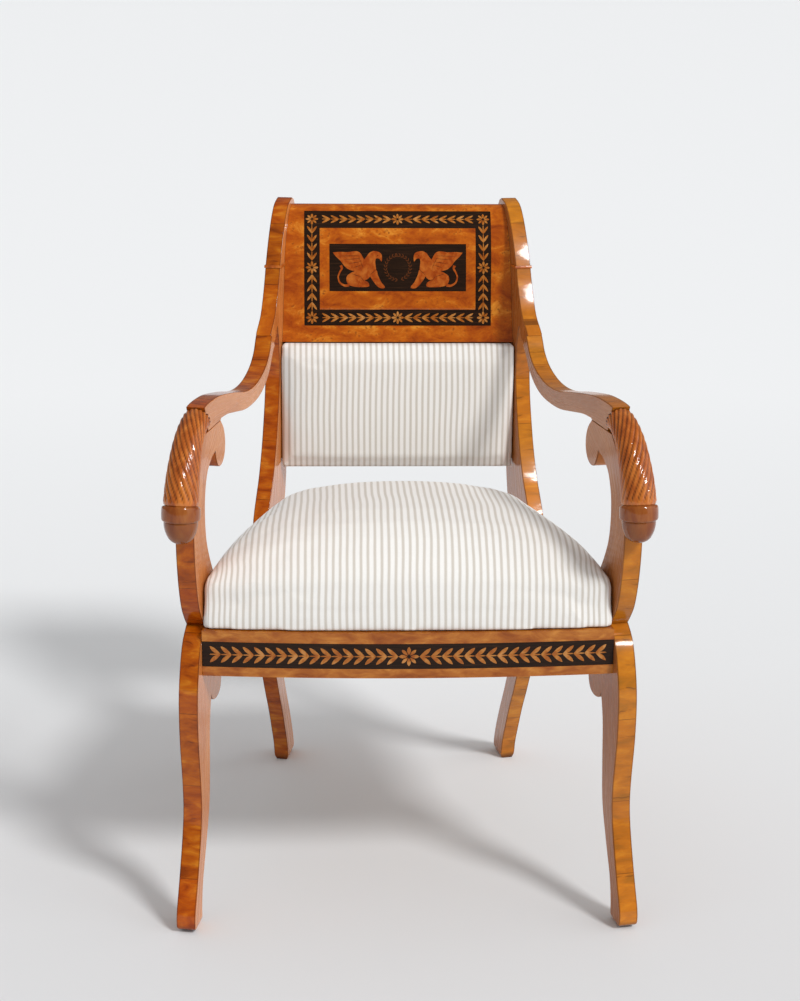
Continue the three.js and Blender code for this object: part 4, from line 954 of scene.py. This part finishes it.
# Inside the seat and the back: webs of jute are tacked over light frames of pine, and steel springs stand on
# the seat's webs. Pine ledgers and corner blocks, glued and screwed inside the rails, carry the loose seat.
# Their CAD solids have the right shape and stay, with these finishes.
# Pine: planed and left bare, so it is pale and matt, with ochre growth rings
pine, tree, shader = new_finish("planed_pine", Roughness=0.6)
_, pine_tone = figured(
    tree, (3.0, 60.0, 90.0), [(0.35, "#b98e55"), (0.5, "#d3ae76"), (0.65, "#dcbd8b")],
    Detail=3.0, Distortion=0.5,
)
join(pine_tone, shader.inputs["Base Color"])
# Webbing: plain woven jute, dull and straw coloured, its threads drawn at 1.6 mm so that they show
webbing, tree, shader = new_finish("woven_jute_webbing", Roughness=0.95)
webbing_place = add_node(tree, "TexCoord").outputs["Object"]
warp_threads, weft_threads = (
    add_node(
        tree,
        "TexWave",
        {"Vector": webbing_place, "Scale": 190.0, "Distortion": 0.6, "Detail": 1.0},
        bands_direction=way,
    )
    for way in ("X", "Y")
)
crossing = {0: warp_threads.outputs["Fac"], 1: weft_threads.outputs["Fac"]}
weave = add_node(tree, "Math", crossing, operation="MULTIPLY")
webbing_stops = [(0.0, "#7d6138"), (0.4, "#a88a5b"), (1.0, "#c2a577")]
webbing_tone = add_node(tree, "ValToRGB", {"Fac": weave}, stops=webbing_stops)
join(webbing_tone, shader.inputs["Base Color"])
webbing_bump = add_node(tree, "Bump", {"Height": weave, "Strength": 0.6, "Distance": 0.0006})
join(webbing_bump, shader.inputs["Normal"])
# Steel: the springs' drawn wire and the screws have a dull grey skin, brown and rough where rust has begun
steel, tree, shader = new_finish("drawn_steel_wire", Metallic=1.0)
steel_spot, steel_tone = figured(
    tree, (260.0, 260.0, 260.0), [(0.4, "#6c5a4a"), (0.55, "#8d8a86")], Detail=4.0
)
join(steel_tone, shader.inputs["Base Color"])
steel_gloss = add_node(tree, "MapRange", {"Value": steel_spot, "To Min": 0.6, "To Max": 0.3})
join(steel_gloss, shader.inputs["Roughness"])
inside = (
    (pine, ("corner_block", "seat_ledger", "back_frame", "seat_frame")),
    (webbing, ("back_web", "seat_web")),
    (steel, ("seat_spring", "block_screw")),
)
for node, cad_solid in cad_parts.items():
    for material, kinds in inside:
        if node.startswith(kinds):
            cad_solid.data.materials.clear()
            cad_solid.data.materials.append(material)

# Loose seat: five springs on webbing, hair and wadding over them, and a cover of ticking drawn down over the
# edges and tacked under. It swells to a dome, higher in front.
cushion_low, cushion_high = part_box("seat_cushion")
side_spread = 0.005               # how far the cover bulges out to the arm supports, at the front
side_height, side_fade = 0.095, 0.04  # up to this height, fading out over the last of it
side_full_at = 0.2                # and growing from the middle out to here
hem_height, hem_pull = 0.03, 0.003  # the lowest part of the cover is drawn down by up to this
cushion_tacked = 0.004
# The hollow under the hair, where the springs stand: half its size, where its middle lies, and its top
hollow_half_x, hollow_half_y, hollow_middle_y, hollow_top = 0.132, 0.135, -0.043, 0.456


def cushion_drape(spot):
    """The cover is drawn square over the seat frame's lower edge and fills the room between the sides."""
    above = spot.z - cushion_low.z
    pulled = max(cushion_low.z, spot.z - hem_pull * max(0.0, 1 - above / hem_height))
    full = max(0.0, min(1.0, (side_height - above) / side_fade))
    behind = (spot.y - cushion_low.y) / (cushion_high.y - cushion_low.y)
    spread = side_spread * (1 - 0.5 * behind) * full * min(1.0, abs(spot.x) / side_full_at)
    return Vector((spot.x + math.copysign(spread, spot.x), spot.y, pulled))


def cushion_held(spot):
    """The cover is tacked under the frame, and the hair stays out of the springs' hollow."""
    return spot.z < cushion_low.z + cushion_tacked or (
        abs(spot.x) < hollow_half_x
        and abs(spot.y - hollow_middle_y) < hollow_half_y
        and spot.z < hollow_top
    )


cushion = stuff(
    "seat_cushion", "seat_cushion_ticking", grid=0.005, held=cushion_held, drape=cushion_drape, reach=0.003,
    body="loose_seat", pull_in=0.001,
)
cushion_form = BVHTree.FromObject(cushion, bpy.context.evaluated_depsgraph_get())
chart_step = 0.01
chart_columns = 24
chart_front, chart_back = -0.2, 0.1
edge_in = 0.02                    # the cover turns down over the last of the top's width
cloth_stretch = 1.04


def half_at(y):
    """Half the cushion's width, which narrows backwards between the sides."""
    return cushion_high.x + side_spread - max(0.0, y - front_face) * math.tan(side_taper)


# The way over the dome from the middle to the edge, row by row from front to back, and the edge's height
chart = []
for row in range(int((chart_back - chart_front) / chart_step) + 2):
    y = chart_front + row * chart_step
    column_width = (half_at(y) - edge_in) / chart_columns
    reach, height = [0.0], None
    for column in range(chart_columns + 1):
        top = cushion_form.ray_cast(Vector((column * column_width, y, 1)), Vector((0, 0, -1)))[0].z
        if height is not None:
            reach.append(reach[-1] + math.hypot(column_width, top - height))
        height = top
    chart.append(([far / (column_width * chart_columns) for far in reach], height))


def on_cushion(spot):
    """How far across the cloth a point lies: the way over the dome to the edge, then the drop down the
    side, and no drop on the cushion's ends, where the stripes run straight down."""
    row = max(0.0, min((spot.y - chart_front) / chart_step, len(chart) - 1.001))
    edge_x = half_at(spot.y) - edge_in
    place = min(abs(spot.x) / edge_x, 1.0) * chart_columns
    column = min(int(place), chart_columns - 1)
    over = edge_height = 0.0
    for near, weight in ((int(row), 1 - row + int(row)), (int(row) + 1, row - int(row))):
        line, height = chart[near]
        over += weight * edge_x * (line[column] + (line[column + 1] - line[column]) * (place - column))
        edge_height += weight * height
    from_side = max(0.0, half_at(spot.y) - abs(spot.x))
    bow = cushion_low.y + rail_bow * (spot.x / half_front) ** 2
    from_ends = max(0.0, min(spot.y - bow, cushion_high.y - spot.y))
    sideways = from_ends**2 / max(from_ends**2 + from_side**2, 1e-9)
    drop = sideways * max(0.0, edge_height - spot.z)
    across = over + math.hypot(max(0.0, abs(spot.x) - edge_x), drop)
    return math.copysign(across, spot.x) / cloth_stretch, spot.y + spot.z


lay_cloth(cushion, on_cushion)

# The floor is plain, pale and matt, and it runs far enough back to fill the picture and meet the surround
# without a line. Its colour is painted shade: darker near the camera, paling towards the back.
floor_reach = 200.0
floor_finish, tree, shader = new_finish("matt_studio_floor", Roughness=0.95, Specular_IOR_Level=0.1)
floor_place = add_node(tree, "TexCoord").outputs["Object"]
floor_depth = add_node(tree, "SeparateXYZ", {"Vector": floor_place})
floor_share = add_node(
    tree, "MapRange", {"Value": floor_depth.outputs["Y"], "From Min": -0.6, "From Max": 3.0}
)
floor_painted_shade = add_node(
    tree, "ValToRGB", {"Fac": floor_share}, stops=[(0.0, "#dfdfe0"), (0.35, "#e8e9ea"), (1.0, "#f1f2f3")]
)
join(floor_painted_shade, shader.inputs["Base Color"])
bm = bmesh.new()
bmesh.ops.create_grid(bm, x_segments=2, y_segments=2, size=floor_reach)
floor = add_object("floor", mesh_of(bm, "floor", [floor_finish]))

# Light: a broad key high on the right in front, a weak and very soft lamp from the right, and an even
# surround that polish mirrors as a dim room
for name, strength, softness, toward in (
    ("key", 1.75, 12, (-0.5, 0.55, -0.72)), ("side", 0.8, 75, (-0.92, 0.2, -0.3))
):
    lamp = bpy.data.lights.new(name, "SUN")
    lamp.energy = strength
    lamp.angle = math.radians(softness)
    add_object(name, lamp).matrix_world = Vector(toward).to_track_quat("-Z", "Y").to_matrix().to_4x4()
world = bpy.data.worlds.new("studio")
world.use_nodes = True
bpy.context.scene.world = world
surround = world.node_tree.nodes["Background"]
surround.inputs["Color"].default_value = linear("#f6f7f8")
seen_path = add_node(world.node_tree, "LightPath")
room_light, room_seen, room_mirrored = 0.57, 0.92, 0.16
surround_camera = add_node(
    world.node_tree,
    "MapRange",
    {"Value": seen_path.outputs["Is Camera Ray"], "To Min": room_light, "To Max": room_seen},
)
surround_strength = add_node(
    world.node_tree,
    "MapRange",
    {"Value": seen_path.outputs["Is Glossy Ray"], "To Min": surround_camera, "To Max": room_mirrored},
)
join(surround_strength, surround.inputs["Strength"])
bpy.context.scene.view_settings.view_transform = "Standard"
